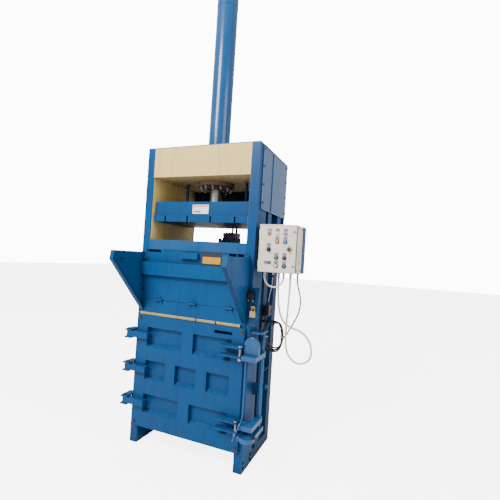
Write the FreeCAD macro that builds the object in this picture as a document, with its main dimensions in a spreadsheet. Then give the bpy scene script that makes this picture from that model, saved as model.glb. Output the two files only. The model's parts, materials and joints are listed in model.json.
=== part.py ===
"""Vertical recycling baler: down-stroke press with a feed gate, a bale chamber door and a control box.

Millimetres, +Z up, the front (gate and door) faces -Y, the control box stands on the +X side.
The origin is on the floor, in the middle of the four corner posts and under the ram.
"""
import FreeCAD, Part
import Sketcher
import math
import os

Vector = FreeCAD.Vector
doc = FreeCAD.newDocument("recycling_baler")
sheet = doc.addObject("Spreadsheet::Sheet", "dims")


# ---------------------------------------------------------------- driving dimensions
class Size:
    """A length that knows its number and its formula over the sheet's cells."""

    def __init__(self, number, formula=None):
        self.number = float(number)
        self.formula = formula or repr(float(number))

    def __neg__(self):
        return Size(-self.number, f"-({self.formula})")

    def __add__(self, other):
        other = size(other)
        return Size(self.number + other.number, f"({self.formula} + {other.formula})")

    def __sub__(self, other):
        other = size(other)
        return Size(self.number - other.number, f"({self.formula} - {other.formula})")

    def __mul__(self, factor):
        return Size(self.number * factor, f"({self.formula} * {float(factor)!r})")

    def __truediv__(self, factor):
        return self * (1.0 / factor)

    def __radd__(self, other):
        return size(other) + self

    def __rsub__(self, other):
        return size(other) - self

    __rmul__ = __mul__


def size(value):
    return value if isinstance(value, Size) else Size(value)


def cell(name, number):
    """Put one driving dimension in the sheet and return it as a Size."""
    row = cell.row = getattr(cell, "row", 0) + 1
    sheet.set(f"A{row}", name)
    sheet.set(f"B{row}", str(number))
    sheet.setAlias(f"B{row}", name)
    return Size(number, f"dims.{name}")


# frame
frame_width = cell("frame_width", 1080)
frame_depth = cell("frame_depth", 630)
frame_height = cell("frame_height", 2600)
post_face = cell("post_face", 74)
front_post_depth = cell("front_post_depth", 210)
rear_post_depth = cell("rear_post_depth", 100)
post_wall = cell("post_wall", 6)
side_plate = cell("side_plate", 8)
rib_depth = cell("rib_depth", 90)
rail_height = cell("rail_height", 90)
shelf_height = cell("shelf_height", 690)
cover_sheet = cell("cover_sheet", 5)
cover_bottom = cell("cover_bottom", 2076)
cover_setback = cell("cover_setback", 65)
roof_sheet = cell("roof_sheet", 8)
rear_overhang = cell("rear_overhang", 115)
header_bottom = cell("header_bottom", 2343)
crosshead_plate = cell("crosshead_plate", 30)
web_plate = cell("web_plate", 16)
fascia_sheet = cell("fascia_sheet", 6)
liner_sheet = cell("liner_sheet", 3)
window_sill = cell("window_sill", 1791)
gate_top = cell("gate_top", 1700)
beam_height = cell("beam_height", 140)
beam_flange = cell("beam_flange", 30)
floor_top = cell("floor_top", 160)
floor_plate = cell("floor_plate", 12)
# ram
tube_radius = cell("tube_radius", 97.5)
bore_radius = cell("bore_radius", 82.5)
tube_top = cell("tube_top", 4120)
cap_height = cell("cap_height", 45)
rod_radius = cell("rod_radius", 55)
running_gap = cell("running_gap", 0.05)
gland_radius = cell("gland_radius", 165)
gland_height = cell("gland_height", 40)
bolt_circle = cell("bolt_circle", 135)
bolt_radius = cell("bolt_radius", 9)
# platen
platen_half_width = cell("platen_half_width", 457)
platen_half_depth = cell("platen_half_depth", 287)
platen_bottom = cell("platen_bottom", 1955)
platen_band = cell("platen_band", 60)
platen_box_height = cell("platen_box_height", 116)
platen_step = cell("platen_step", 12)
platen_wall = cell("platen_wall", 12)
strap_slot = cell("strap_slot", 15)
strap_pitch = cell("strap_pitch", 225)
# gate
gate_half_width = cell("gate_half_width", 500)
gate_sheet = cell("gate_sheet", 8)
gate_standoff = cell("gate_standoff", 4)
gate_bottom = cell("gate_bottom", 1268)
band_bottom = cell("band_bottom", 1149)
band_sheet = cell("band_sheet", 10)
band_half_width = cell("band_half_width", 500)
stiffener_bottom = cell("stiffener_bottom", 1480)
stiffener_height = cell("stiffener_height", 112)
stiffener_depth = cell("stiffener_depth", 40)
fold_sheet = cell("fold_sheet", 5)
hinge_pin_radius = cell("hinge_pin_radius", 5)
knuckle_radius = cell("knuckle_radius", 9)
gate_hinge_pitch = cell("gate_hinge_pitch", 333)
gate_hinge_shift = cell("gate_hinge_shift", 18)
cheek_sheet = cell("cheek_sheet", 6)
cheek_reach = cell("cheek_reach", 428)
cheek_top = cell("cheek_top", 1677)
cheek_corner = cell("cheek_corner", 1605)
cheek_flange = cell("cheek_flange", 32)
gap = cell("gap", 3)
# door
door_half_width = cell("door_half_width", 508)
door_bottom = cell("door_bottom", 165)
door_top = cell("door_top", 1124)
door_thickness = cell("door_thickness", 28)
door_standoff = cell("door_standoff", 2)
door_inset_half_width = cell("door_inset_half_width", 455)
door_inset_depth = cell("door_inset_depth", 14)
door_sheet = cell("door_sheet", 5)
pocket_reach = cell("pocket_reach", 402)
pocket_bevel = cell("pocket_bevel", 24)
strap_length = cell("strap_length", 205)
strap_height = cell("strap_height", 50)
strap_depth = cell("strap_depth", 44)
door_axis_out = cell("door_axis_out", 38)
door_pin_radius = cell("door_pin_radius", 12.5)
lug_plate = cell("lug_plate", 14)
clevis_length = cell("clevis_length", 195)
clevis_depth = cell("clevis_depth", 60)
clevis_pitch = cell("clevis_pitch", 71)
keeper_radius = cell("keeper_radius", 10)
# lock
lock_axis_out = cell("lock_axis_out", 72)
lock_axis_back = cell("lock_axis_back", 125)
lock_pin_radius = cell("lock_pin_radius", 10)
lock_tube_radius = cell("lock_tube_radius", 17)
arm_plate = cell("arm_plate", 36)
arm_width = cell("arm_width", 50)
upper_arm = cell("upper_arm", 897)
lower_arm = cell("lower_arm", 380)
ledge_top = cell("ledge_top", 1100)
ledge_plate = cell("ledge_plate", 10)
rest_bottom = cell("rest_bottom", 300)
rest_plate = cell("rest_plate", 35)
lug_radius = cell("lug_radius", 60)
grip_radius = cell("grip_radius", 6)
# control box
box_gap = cell("box_gap", 42)
box_width = cell("box_width", 294)
box_height = cell("box_height", 366)
box_depth = cell("box_depth", 165)
box_bottom = cell("box_bottom", 1578)
box_sheet = cell("box_sheet", 2.5)
box_stand_depth = cell("box_stand_depth", 88)
gasket = cell("gasket", 9)
box_door_depth = cell("box_door_depth", 20)
hinge_length = cell("hinge_length", 50)
gland_drop = cell("gland_drop", 24)
button_pitch = cell("button_pitch", 64)
button_row_pitch = cell("button_row_pitch", 61)
button_inset = cell("button_inset", 80)
button_drop = cell("button_drop", 70)
button_radius = cell("button_radius", 12.5)
button_travel = cell("button_travel", 4)
button_fit = cell("button_fit", 0.3)
# power pack
tank_width = cell("tank_width", 420)
tank_depth = cell("tank_depth", 290)
tank_height = cell("tank_height", 380)
tank_bottom = cell("tank_bottom", 1330)
motor_radius = cell("motor_radius", 88)
motor_height = cell("motor_height", 150)
motor_setback = cell("motor_setback", 120)
pipe_radius = cell("pipe_radius", 11)
pipe_bend = cell("pipe_bend", 60)
# cable hank
hank_x = cell("hank_x", 660)
hank_y = cell("hank_y", -70)
hank_bottom = cell("hank_bottom", 895)
hank_top = cell("hank_top", 1180)
hank_radius = cell("hank_radius", 88)
hank_band = cell("hank_band", 28)
hank_depth = cell("hank_depth", 50)
doc.recompute()

# places that many pieces share
half_width = frame_width / 2
inner = half_width - post_face
front = -(frame_depth / 2)
back = frame_depth / 2
upper_back = back + rear_overhang
zero = size(0)

# hydraulic ports and the two pipes that serve them
lower_port = frame_height - 120
riser_foot = frame_height - 60
upper_port = tube_top - cap_height - 70
port_face = tube_radius + 22
pipe_x = (size(-75), size(-29))
pipe_y = back + tank_depth - 32
riser_x, riser_y = pipe_x[1], tube_radius + 52

parts = []


# ---------------------------------------------------------------- making pieces
def bind(thing, **sizes):
    for name, value in sizes.items():
        thing.setExpression(name, size(value).formula)
    return thing


def place(thing, x, y, z):
    for axis, value in zip("xyz", (x, y, z)):
        thing.setExpression(f"Placement.Base.{axis}", size(value).formula)
    return thing


def block(x, y, z):
    """A box between two sizes on each axis."""
    (x0, x1), (y0, y1), (z0, z1) = (tuple(size(v) for v in pair) for pair in (x, y, z))
    box = doc.addObject("Part::Box", "block")
    bind(box, Length=x1 - x0, Width=y1 - y0, Height=z1 - z0)
    return place(box, x0, y0, z0)


TURNS = {"z": FreeCAD.Rotation(), "x": FreeCAD.Rotation(Vector(0, 1, 0), 90),
         "y": FreeCAD.Rotation(Vector(1, 0, 0), -90)}


def rod(radius, start, length, axis="z"):
    """A round bar that runs from its start along one axis."""
    cylinder = doc.addObject("Part::Cylinder", "rod")
    cylinder.Placement.Rotation = TURNS[axis]
    bind(cylinder, Radius=radius, Height=length)
    return place(cylinder, *start)


def hexagon(across, start, height):
    """A hexagon head that stands on its start."""
    prism = doc.addObject("Part::Prism", "hexagon")
    prism.Polygon = 6
    bind(prism, Circumradius=size(across) / math.sqrt(3), Height=height)
    return place(prism, *start)


def taper(x, y, z, low_rise):
    """A box whose underside rises by low_rise from its front face to its back face."""
    (x0, x1), (y0, y1), (z0, z1) = (tuple(size(v) for v in pair) for pair in (x, y, z))
    wedge = doc.addObject("Part::Wedge", "taper")
    zero_size = size(0)
    bind(wedge, Xmin=zero_size, Xmax=x1 - x0, X2min=zero_size, X2max=x1 - x0,
         Ymin=zero_size, Ymax=y1 - y0,
         Zmin=zero_size, Zmax=z1 - z0, Z2min=low_rise, Z2max=z1 - z0)
    return place(wedge, x0, y0, z0)


def fuse(*things):
    joined = doc.addObject("Part::MultiFuse", "joined")
    joined.Shapes = list(things)
    joined.Refine = True
    return joined


def group(things):
    """Separate solids that share one node."""
    together = doc.addObject("Part::Compound", "group")
    together.Links = list(things)
    return together


def cut(base, *tools):
    tool = tools[0] if len(tools) == 1 else fuse(*tools)
    result = doc.addObject("Part::Cut", "cut")
    result.Base = base
    result.Tool = tool
    result.Refine = True
    return result


def tube(outer, bore, start, length, axis="z"):
    return cut(rod(outer, start, length, axis), rod(bore, start, length, axis))


def profile_pad(body, plane, outline, length, name):
    """Pad a closed outline of (across, up) sizes, each corner bound to the sheet."""
    sketch = body.newObject("Sketcher::SketchObject", f"{name}_outline")
    support = [f for f in body.Origin.OriginFeatures if f.Role == plane][0]
    sketch.AttachmentSupport = [(support, "")]
    sketch.MapMode = "FlatFace"
    corners = [(size(a), size(b)) for a, b in outline]
    count = len(corners)
    points = [Vector(a.number, b.number, 0) for a, b in corners]
    for i in range(count):
        sketch.addGeometry(Part.LineSegment(points[i], points[(i + 1) % count]), False)
    for i in range(count):
        sketch.addConstraint(Sketcher.Constraint("Coincident", i, 2, (i + 1) % count, 1))
    for i, (a, b) in enumerate(corners):
        for kind, value in (("DistanceX", a), ("DistanceY", b)):
            index = sketch.addConstraint(Sketcher.Constraint(kind, -1, 1, i, 1, value.number))
            sketch.setExpression(f"Constraints[{index}]", value.formula)
    pad = body.newObject("PartDesign::Pad", f"{name}_pad")
    pad.Profile = sketch
    bind(pad, Length=length)
    return pad


def publish(node, thing):
    thing.Label = node
    parts.append(thing)
    return thing


def mirror_x(thing):
    """The same piece on the other side of the machine."""
    mirrored = doc.addObject("Part::Mirroring", "mirrored")
    mirrored.Source = thing
    mirrored.Normal = Vector(1, 0, 0)
    return mirrored


# ---------------------------------------------------------------- frame
def box_tube(x, y, z, wall):
    (x0, x1), (y0, y1) = x, y
    return cut(block(x, y, z), block((x0 + wall, x1 - wall), (y0 + wall, y1 - wall), z))


def side_frame():
    """Right side weldment: two box posts, the plate between them, a mid rib and a floor rail."""
    outer_x = (inner, half_width)
    front_post = box_tube(outer_x, (front, front + front_post_depth), (zero, frame_height), post_wall)
    rear_post = box_tube(outer_x, (back - rear_post_depth, back), (zero, frame_height), post_wall)
    span = (front + front_post_depth, back - rear_post_depth)
    plate = block((inner, inner + side_plate), span, (rail_height, frame_height))
    rib = block((inner + side_plate, half_width), (-(rib_depth / 2), rib_depth / 2),
                (rail_height, frame_height))
    hollow_rib = block((inner + side_plate, half_width - post_wall),
                       (-(rib_depth / 2) + post_wall, rib_depth / 2 - post_wall),
                       (rail_height, frame_height))
    shelf = block((inner + side_plate, half_width), (rib_depth / 2, back - rear_post_depth),
                  (shelf_height, shelf_height + post_wall))
    rail = cut(block(outer_x, span, (zero, rail_height)),
               block((inner + post_wall, half_width - post_wall), span,
                     (post_wall, rail_height - post_wall)))
    wing = block((inner, inner + side_plate), (back, upper_back), (window_sill, frame_height))
    wing_edge = block(outer_x, (upper_back - post_wall, upper_back), (window_sill, frame_height))
    return fuse(front_post, rear_post, plate, cut(rib, hollow_rib), shelf, rail, wing, wing_edge)


def side_cover():
    """Sheet over the upper outside of the side frame, with a joint strip down its middle."""
    x = (half_width, half_width + cover_sheet)
    sheet_metal = block(x, (front + cover_setback, upper_back), (cover_bottom, frame_height))
    joint_strip = block((half_width + cover_sheet, half_width + cover_sheet * 1.8),
                        (-8, 8), (cover_bottom, frame_height))
    return fuse(sheet_metal, joint_strip)


def frame_pieces():
    publish("right_side_frame", side_frame())
    publish("left_side_frame", mirror_x(side_frame()))
    publish("side_covers", group([side_cover(), mirror_x(side_cover())]))

    roof = block((-half_width, half_width), (front, upper_back), (frame_height, frame_height + roof_sheet))
    publish("roof_plate", cut(roof, rod(tube_radius + 0.5, (0, 0, frame_height), roof_sheet),
                              rod(pipe_radius + 1, (riser_x, riser_y, frame_height), roof_sheet)))

    inside_x = (-inner, inner)
    behind_fascia = front + fascia_sheet
    publish("header_fascia", block(inside_x, (front, behind_fascia), (header_bottom, frame_height)))

    plate_top = header_bottom + crosshead_plate
    deck = block(inside_x, (behind_fascia, upper_back - beam_flange), (header_bottom, plate_top))
    webs = [block((x - web_plate / 2, x + web_plate / 2), (behind_fascia, back - beam_flange),
                  (plate_top, frame_height)) for x in (-gland_radius, gland_radius)]
    bolt_holes = [rod(bolt_radius + 0.5, (*ring_place(i), header_bottom), crosshead_plate)
                  for i in range(12)]
    tube_hole = rod(tube_radius + 0.3, (0, 0, header_bottom), crosshead_plate)
    publish("crosshead", cut(fuse(deck, *webs), tube_hole, *bolt_holes))
    stops = []
    for x in (-stop_reach, stop_reach):
        foot = doc.addObject("Part::Cone", "stop_foot")
        bind(foot, Radius1=30, Radius2=14, Height=28)
        stops.append(fuse(rod(14, (x, 0, header_bottom - stop_drop), stop_drop),
                          place(foot, x, 0, header_bottom - stop_drop)))
    publish("stop_rods", group(stops))

    beam = block(inside_x, (upper_back - beam_flange, upper_back), (header_bottom - beam_height, frame_height))
    relief = block(inside_x, (upper_back - beam_flange + 8, upper_back),
                   (header_bottom - beam_height + 8, frame_height - 8))
    pipe_way = block((pipe_x[0] - 30, pipe_x[1] + 30), (upper_back - beam_flange, upper_back),
                     (lower_port - 30, riser_foot + 30))
    publish("rear_header", cut(beam, relief, pipe_way))

    liners = [block(x, (front + fascia_sheet, upper_back - beam_flange), (window_sill, header_bottom - 0.5))
              for x in ((-inner, -inner + liner_sheet), (inner - liner_sheet, inner))]
    publish("cream_liners", group(liners))

    sill_front = (front, front + fascia_sheet)
    sill_sheet = block(inside_x, sill_front, (gate_top + gap, window_sill))
    sill_flange = block(inside_x, (front, front + 20), (window_sill - fascia_sheet, window_sill))
    publish("sill_beam", fuse(sill_sheet, sill_flange))

    publish("rear_wall", block(inside_x, (back - side_plate, back), (floor_top, window_sill)))
    floor = block(inside_x, (front + 30, back), (floor_top - floor_plate, floor_top))
    bearers = [block((x - 20, x + 20), (front + 120, back), (floor_top - 70, floor_top - floor_plate))
               for x in (-300, 0, 300)]
    publish("chamber_floor", fuse(floor, *bearers))

    band_y = (front - band_sheet, front)
    rail = block((-door_half_width, door_half_width - 50), band_y, (door_top + gap, band_bottom))
    notches = [block((x - 5, x + 5), band_y, (door_top + gap, band_bottom))
               for x in (56, 243)]
    publish("strap_rail", cut(rail, *notches))


def ring_place(index):
    """Centre of one bolt on the gland's circle of twelve."""
    angle = math.radians(30 * index + 15)
    return bolt_circle * math.cos(angle), bolt_circle * math.sin(angle)


def cheek_pieces():
    """Fixed hopper sides: a tapered plate with an inward flange along its front edge."""
    tip = band_bottom + 2
    flange = cheek_sheet
    outline = [(front, tip), (front - cheek_reach, cheek_corner),
               (front - cheek_reach + 14, cheek_top), (front, cheek_top)]
    root = front - band_sheet
    strip = [(root, tip + band_sheet * 1.07), (front - cheek_reach, cheek_corner),
             (front - cheek_reach + 14, cheek_top), (front - cheek_reach + 14 + flange, cheek_top),
             (front - cheek_reach + flange * 1.4, cheek_corner + 2),
             (root, tip + band_sheet * 1.07 + flange * 1.48)]
    plane_x = gate_half_width + gap
    for side in ("right", "left"):
        body = doc.addObject("PartDesign::Body", f"{side}_cheek")
        profile_pad(body, "YZ_Plane", outline, cheek_sheet, f"{side}_plate")
        lip = profile_pad(body, "YZ_Plane", strip, cheek_flange + cheek_sheet, f"{side}_lip")
        lip.Reversed = side == "right"
        body.Tip = lip
        if side == "right":
            plate_pad = body.Group[1]
            plate_pad.Reversed = True
            place(body, plane_x + cheek_sheet, 0, 0)
        else:
            place(body, -plane_x - cheek_sheet, 0, 0)
        publish(f"{side}_cheek", body)


# ---------------------------------------------------------------- ram and platen
stop_reach = size(305)
platen_top = platen_bottom + platen_band + platen_box_height
stop_drop = header_bottom - platen_top - 0.5


def ram_pieces():
    bottom = header_bottom
    barrel = rod(tube_radius, (0, 0, bottom), tube_top - bottom)
    seam = rod(tube_radius + 2, (0, 0, tube_top - cap_height * 3), 10)
    bore = rod(bore_radius, (0, 0, bottom), tube_top - cap_height - bottom)
    lower_stub = rod(20, (0, tube_radius - 8, lower_port), port_face - tube_radius + 8, "y")
    upper_elbow = block((riser_x - 23, riser_x + 23), (bore_radius + 3, riser_y + 22),
                        (upper_port, upper_port + 50))
    publish("cylinder_tube", cut(fuse(barrel, seam, lower_stub, upper_elbow), bore))

    low = header_bottom - gland_height
    flange = rod(gland_radius, (0, 0, low), gland_height)
    lower_boss = rod(rod_radius + 28, (0, 0, low - 18), 18)
    spigot = rod(bore_radius - running_gap * 2, (0, 0, header_bottom), 45)
    through = rod(rod_radius + running_gap, (0, 0, low - 18), gland_height + 63)
    holes = [rod(bolt_radius + 0.5, (*ring_place(i), low), gland_height) for i in range(12)]
    publish("gland_flange", cut(fuse(flange, lower_boss, spigot), through, *holes))
    bolts = [fuse(hexagon(30, (*ring_place(i), low - 13), 13),
                  rod(bolt_radius, (*ring_place(i), low - 34), 34 + gland_height + crosshead_plate))
             for i in range(12)]
    publish("flange_bolts", group(bolts))

    rod_top = tube_top - cap_height - 70
    stem = rod(rod_radius, (0, 0, platen_top), rod_top - platen_top)
    piston = rod(bore_radius - running_gap, (0, 0, rod_top), 60)
    publish("ram_rod", fuse(stem, piston))

    w, d = platen_half_width, platen_half_depth
    band = block((-w, w), (-d, d), (platen_bottom, platen_bottom + platen_band))
    lightening = []
    for i in range(5):
        middle = (i - 2) * strap_pitch
        half = strap_pitch / 2 - strap_slot / 2 - 14
        if i == 0:
            ends = (-w + 14, middle + half)
        elif i == 4:
            ends = (middle - half, w - 14)
        else:
            ends = (middle - half, middle + half)
        lightening.append(block(ends, (-d + 14, d - 14), (platen_bottom + 12, platen_bottom + platen_band)))
    slots = [block((strap_pitch * k - strap_slot / 2, strap_pitch * k + strap_slot / 2), (-d, d),
                   (platen_bottom, platen_bottom + platen_band - 8)) for k in (-1.5, -0.5, 0.5, 1.5)]
    low = platen_bottom + platen_band
    bw, bd = w - platen_step, d - platen_step
    box_z = (low, platen_top)
    deck = block((-bw, bw), (-bd, bd), (low, low + 12))
    walls = cut(block((-bw, bw), (-bd, bd), box_z),
                block((-bw + platen_wall, bw - platen_wall), (-bd + platen_wall, bd - platen_wall), box_z))
    ribs = [block((x - 6, x + 6), (-bd, bd), box_z) for x in (-stop_reach, stop_reach)]
    cross = [block((-bw, bw), (y - 6, y + 6), box_z) for y in (-120, 120)]
    boss = rod(rod_radius + 35, (0, 0, low), platen_box_height)
    pads = [rod(34, (x, 0, low), platen_box_height) for x in (-stop_reach, stop_reach)]
    publish("platen", fuse(cut(band, *slots, *lightening), deck, walls, *ribs, *cross, boss, *pads))


# ---------------------------------------------------------------- feed gate
gate_back = front - gate_standoff
gate_face = gate_back - gate_sheet
gate_axis_y = gate_face - knuckle_radius - 0.4
gate_axis_z = gate_bottom - gap
knuckle = size(24)


def gate_pieces():
    w = gate_half_width
    sheet_metal = block((-w, w), (gate_face, gate_back), (gate_bottom, gate_top))
    notches = [block(x, (gate_face, gate_back), (gate_top - 20, gate_top))
               for x in ((-480, -330), (327, 392), (404, 457))]
    leaves, moving, pins = [], [], []
    for k in (-1, 0, 1):
        x = gate_hinge_pitch * k + gate_hinge_shift
        moving.append(fuse(
            rod(knuckle_radius, (x - knuckle / 2 + 0.5, gate_axis_y, gate_axis_z), knuckle - 1, "x"),
            block((x - knuckle / 2 + 0.5, x + knuckle / 2 - 0.5), (gate_face - 5, gate_face),
                  (gate_axis_z + 6, gate_bottom + 34))))
        for side in (-1, 1):
            start = x + knuckle * (side * 1.0) - knuckle / 2
            leaves.append(fuse(
                rod(knuckle_radius, (start, gate_axis_y, gate_axis_z), knuckle, "x"),
                block((start, start + knuckle), (front - band_sheet - 5, front - band_sheet),
                      (gate_axis_z - 36, gate_axis_z - 4))))
        pins.append(rod(hinge_pin_radius, (x - knuckle * 1.5 - 2, gate_axis_y, gate_axis_z),
                        knuckle * 3 + 4, "x"))
    bores = [rod(hinge_pin_radius + running_gap, (gate_hinge_pitch * k + gate_hinge_shift - knuckle * 2,
                                                  gate_axis_y, gate_axis_z), knuckle * 4, "x")
             for k in (-1, 0, 1)]
    grip_z = (gate_top - 62, gate_top - 10)
    grip = cut(block((-115, 53), (gate_face - 32, gate_face), grip_z),
               block((-110, 48), (gate_face - 27, gate_face), (gate_top - 62, gate_top - 15)))
    gate = fuse(cut(sheet_metal, *notches), grip, *moving)
    publish("gate_panel", cut(gate, *bores))
    band = block((-band_half_width, band_half_width), (front - band_sheet, front),
                 (band_bottom, gate_bottom - gap))
    publish("lower_band", cut(fuse(band, *leaves), *[
        rod(hinge_pin_radius, (gate_hinge_pitch * k + gate_hinge_shift - knuckle * 2,
                               gate_axis_y, gate_axis_z), knuckle * 4, "x") for k in (-1, 0, 1)]))

    z = (stiffener_bottom, stiffener_bottom + stiffener_height)
    y = (gate_face - stiffener_depth, gate_face)
    channel = cut(block((-w, w), y, z),
                  block((-w, w), (y[0] + fold_sheet, y[1]), (z[0] + fold_sheet, z[1] - fold_sheet)))
    publish("gate_stiffener", channel)
    return pins


# ---------------------------------------------------------------- chamber door
door_back = front - door_standoff
door_face = door_back - door_thickness
door_axis_x = -half_width - door_axis_out
door_axis_y = door_face - strap_depth / 2
strap_heights = (size(378), size(667), size(955))
clevis_heights = (size(384.5), size(949.5))


def pocket_places():
    """Pocket boxes of the door face, bottom row first: (x range, z range)."""
    r = pocket_reach
    wide = ((-r, size(-54)), (size(54), r))
    narrow = ((-r, size(-199)), (size(-100), size(100)), (size(199), r))
    for columns, low, high in ((wide, 290, 451), (narrow, 575, 740), (wide, 858, 1026)):
        for x in columns:
            yield x, (size(low), size(high))


def door_pieces():
    w, iw = door_half_width, door_inset_half_width
    inset_back = door_back + door_inset_depth
    pan = fuse(block((-w, w), (door_face, door_back), (door_bottom, door_top)),
               block((-iw, iw), (door_back, inset_back), (door_bottom + 12, door_top - 12)))
    s = door_sheet
    hollow = fuse(block((-w + s, w - s), (door_face + s, door_back - s), (door_bottom + s, door_top - s)),
                  block((-iw + s, iw - s), (door_back - s, inset_back),
                        (door_bottom + 12 + s, door_top - 12 - s)))
    floor_y = inset_back - s
    cups, pockets = [], []
    for (x0, x1), (z0, z1) in pocket_places():
        cups.append(taper((x0 - s, x1 + s), (door_face, inset_back), (z0 - s, z1 + s), pocket_bevel))
        pockets.append(taper((x0, x1), (door_face, floor_y), (z0, z1), pocket_bevel))
    strap_slot_opening = block((248, 405), (door_face, door_face + s), (1062, 1086))
    pressed = cut(pan, cut(hollow, *cups), *pockets, strap_slot_opening)
    publish("door_panel", pressed)
    publish("door_back_plate", block((-iw, iw), (inset_back, inset_back + 6),
                                     (door_bottom + 12, door_top - 12)))

    straps, brackets, pins = [], [], []
    for z in strap_heights:
        low, high = z - strap_height / 2, z + strap_height / 2
        bar = block((door_axis_x, door_axis_x + strap_length), (door_face - strap_depth, door_face),
                    (low, high))
        eye = rod(strap_depth / 2, (door_axis_x, door_axis_y, low), strap_height)
        bore = rod(door_pin_radius + running_gap, (door_axis_x, door_axis_y, low), strap_height)
        straps.append(cut(fuse(bar, eye), bore))
        out = door_axis_x - 28
        lugs = block((out, -half_width), (door_axis_y - 26, front + 50),
                     (low - lug_plate - 0.3, high + lug_plate + 0.3))
        throat = block((out, -half_width), (door_axis_y - 26, front), (low - 0.3, high + 0.3))
        throat_back = block((out, -half_width - 12), (front, front + 50), (low - 0.3, high + 0.3))
        pin_hole = rod(door_pin_radius, (door_axis_x, door_axis_y, low - lug_plate - 1),
                       strap_height + lug_plate * 2 + 2)
        brackets.append(cut(lugs, throat, throat_back, pin_hole))
        head = rod(door_pin_radius + 6, (door_axis_x, door_axis_y, high + lug_plate + 0.3), 8)
        pins.append(fuse(head, rod(door_pin_radius, (door_axis_x, door_axis_y, low - lug_plate - 6),
                                   strap_height + lug_plate * 2 + 6.3)))
    publish("hinge_brackets", group(brackets))

    plates, keepers = [], []
    x_end = door_half_width + 7
    for middle in clevis_heights:
        keeper_at = (x_end - 17, door_face - clevis_depth + 18)
        for side in (-1, 1):
            z = middle + clevis_pitch / 2 * side
            plate = block((x_end - clevis_length, x_end), (door_face - clevis_depth, door_face),
                          (z - lug_plate / 2, z + lug_plate / 2))
            plates.append(cut(plate, rod(keeper_radius + 0.3, (*keeper_at, z - lug_plate), lug_plate * 2)))
        low = middle - clevis_pitch / 2 - lug_plate / 2
        high = middle + clevis_pitch / 2 + lug_plate / 2
        keepers.append(fuse(rod(keeper_radius, (*keeper_at, low - 22), high - low + 22),
                            hexagon(30, (*keeper_at, low - 18), 18),
                            hexagon(30, (*keeper_at, high), 12)))
    publish("door_straps", group(straps + plates))
    publish("keeper_bolts", group(keepers))
    return pins


# ---------------------------------------------------------------- door lock
lock_x = half_width + lock_axis_out
lock_y = front + lock_axis_back
arm_end = door_half_width + 11
arm_front = door_face - clevis_depth
arm_back = front - 10


def lock_pieces():
    low, high = rest_bottom + rest_plate + 0.3, ledge_top - ledge_plate - 0.3
    barrel = rod(lock_tube_radius, (lock_x, lock_y, low), high - low)
    arms = []
    for z in (lower_arm, upper_arm):
        z_range = (z, z + arm_plate)
        arms.append(block((lock_x - arm_width / 2, lock_x + arm_width / 2), (arm_front, lock_y), z_range))
        arms.append(block((arm_end, lock_x), (arm_front, arm_back), z_range))
        arms.append(rod(arm_width / 2, (lock_x, lock_y, z - 10), arm_plate + 20))
    lug_x = arm_end + lug_radius + 2
    lug_y = (arm_back - 34, arm_back - 6)
    lug_z = upper_arm + arm_plate
    lug_centre = lug_z + 72
    lug = fuse(block((lug_x - lug_radius, lug_x + lug_radius), lug_y, (lug_z, lug_centre)),
               rod(lug_radius, (lug_x, lug_y[0], lug_centre), lug_y[1] - lug_y[0], "y"))
    bow = doc.addObject("Part::Torus", "bow")
    bow.Placement.Rotation = FreeCAD.Rotation(Vector(1, 0, 0), 90)
    bind(bow, Radius1=lug_radius + 2, Radius2=5)
    bow.Angle3 = 180
    place(bow, lug_x, lug_y[0] + 6, lug_centre)
    bore = rod(lock_pin_radius + running_gap, (lock_x, lock_y, low), high - low)

    grip_x, grip_y = half_width + 6, arm_back - 56
    grip_route = [(grip_x, grip_y, upper_arm), (grip_x, grip_y, 470), (grip_x - 6, grip_y - 18, 428),
                  (grip_x - 18, grip_y - 62, 380), (grip_x - 24, grip_y - 112, 338)]
    publish("lock_frame", cut(fuse(barrel, *arms, lug, bow), bore, bent_rod(grip_route, grip_radius)))
    publish("lock_handle", bent_rod(grip_route, grip_radius))

    ledge = cut(block((half_width, lock_x + 26), (front + 12, lock_y + 35),
                      (ledge_top - ledge_plate, ledge_top)),
                rod(lock_pin_radius, (lock_x, lock_y, ledge_top - ledge_plate), ledge_plate))
    rest_z = (rest_bottom, rest_bottom + rest_plate)
    rest = cut(fuse(block((half_width, lock_x + 30), (arm_front + 20, lock_y + 35), rest_z),
                    rod(60, (half_width + 50, arm_front + 30, rest_bottom), rest_plate),
                    block((arm_end, half_width + 50), (arm_front - 4, front), rest_z)),
               rod(lock_pin_radius, (lock_x, lock_y, rest_bottom), rest_plate))
    gusset = doc.addObject("PartDesign::Body", "side_gusset")
    profile_pad(gusset, "XZ_Plane", [(half_width, 560), (half_width, 662), (half_width + 138, 662),
                                     (half_width + 138, 650)], 8, "gusset")
    place(gusset, 0, lock_y + 45, 0)
    publish("lock_brackets", group([ledge, rest, gusset]))
    return rod(lock_pin_radius, (lock_x, lock_y, rest_bottom - 6), ledge_top - rest_bottom + 12)


def number(value):
    return value.number if isinstance(value, Size) else float(value)


def bent_rod(points, radius, bend=None):
    """A round bar or pipe along straight runs with tangent arcs."""
    points = [tuple(number(v) for v in point) for point in points]
    feature = doc.addObject("Part::Feature", "bent_rod")
    feature.Shape = swept(route_wire(points, bend and number(bend)), number(radius))
    return feature


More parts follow.
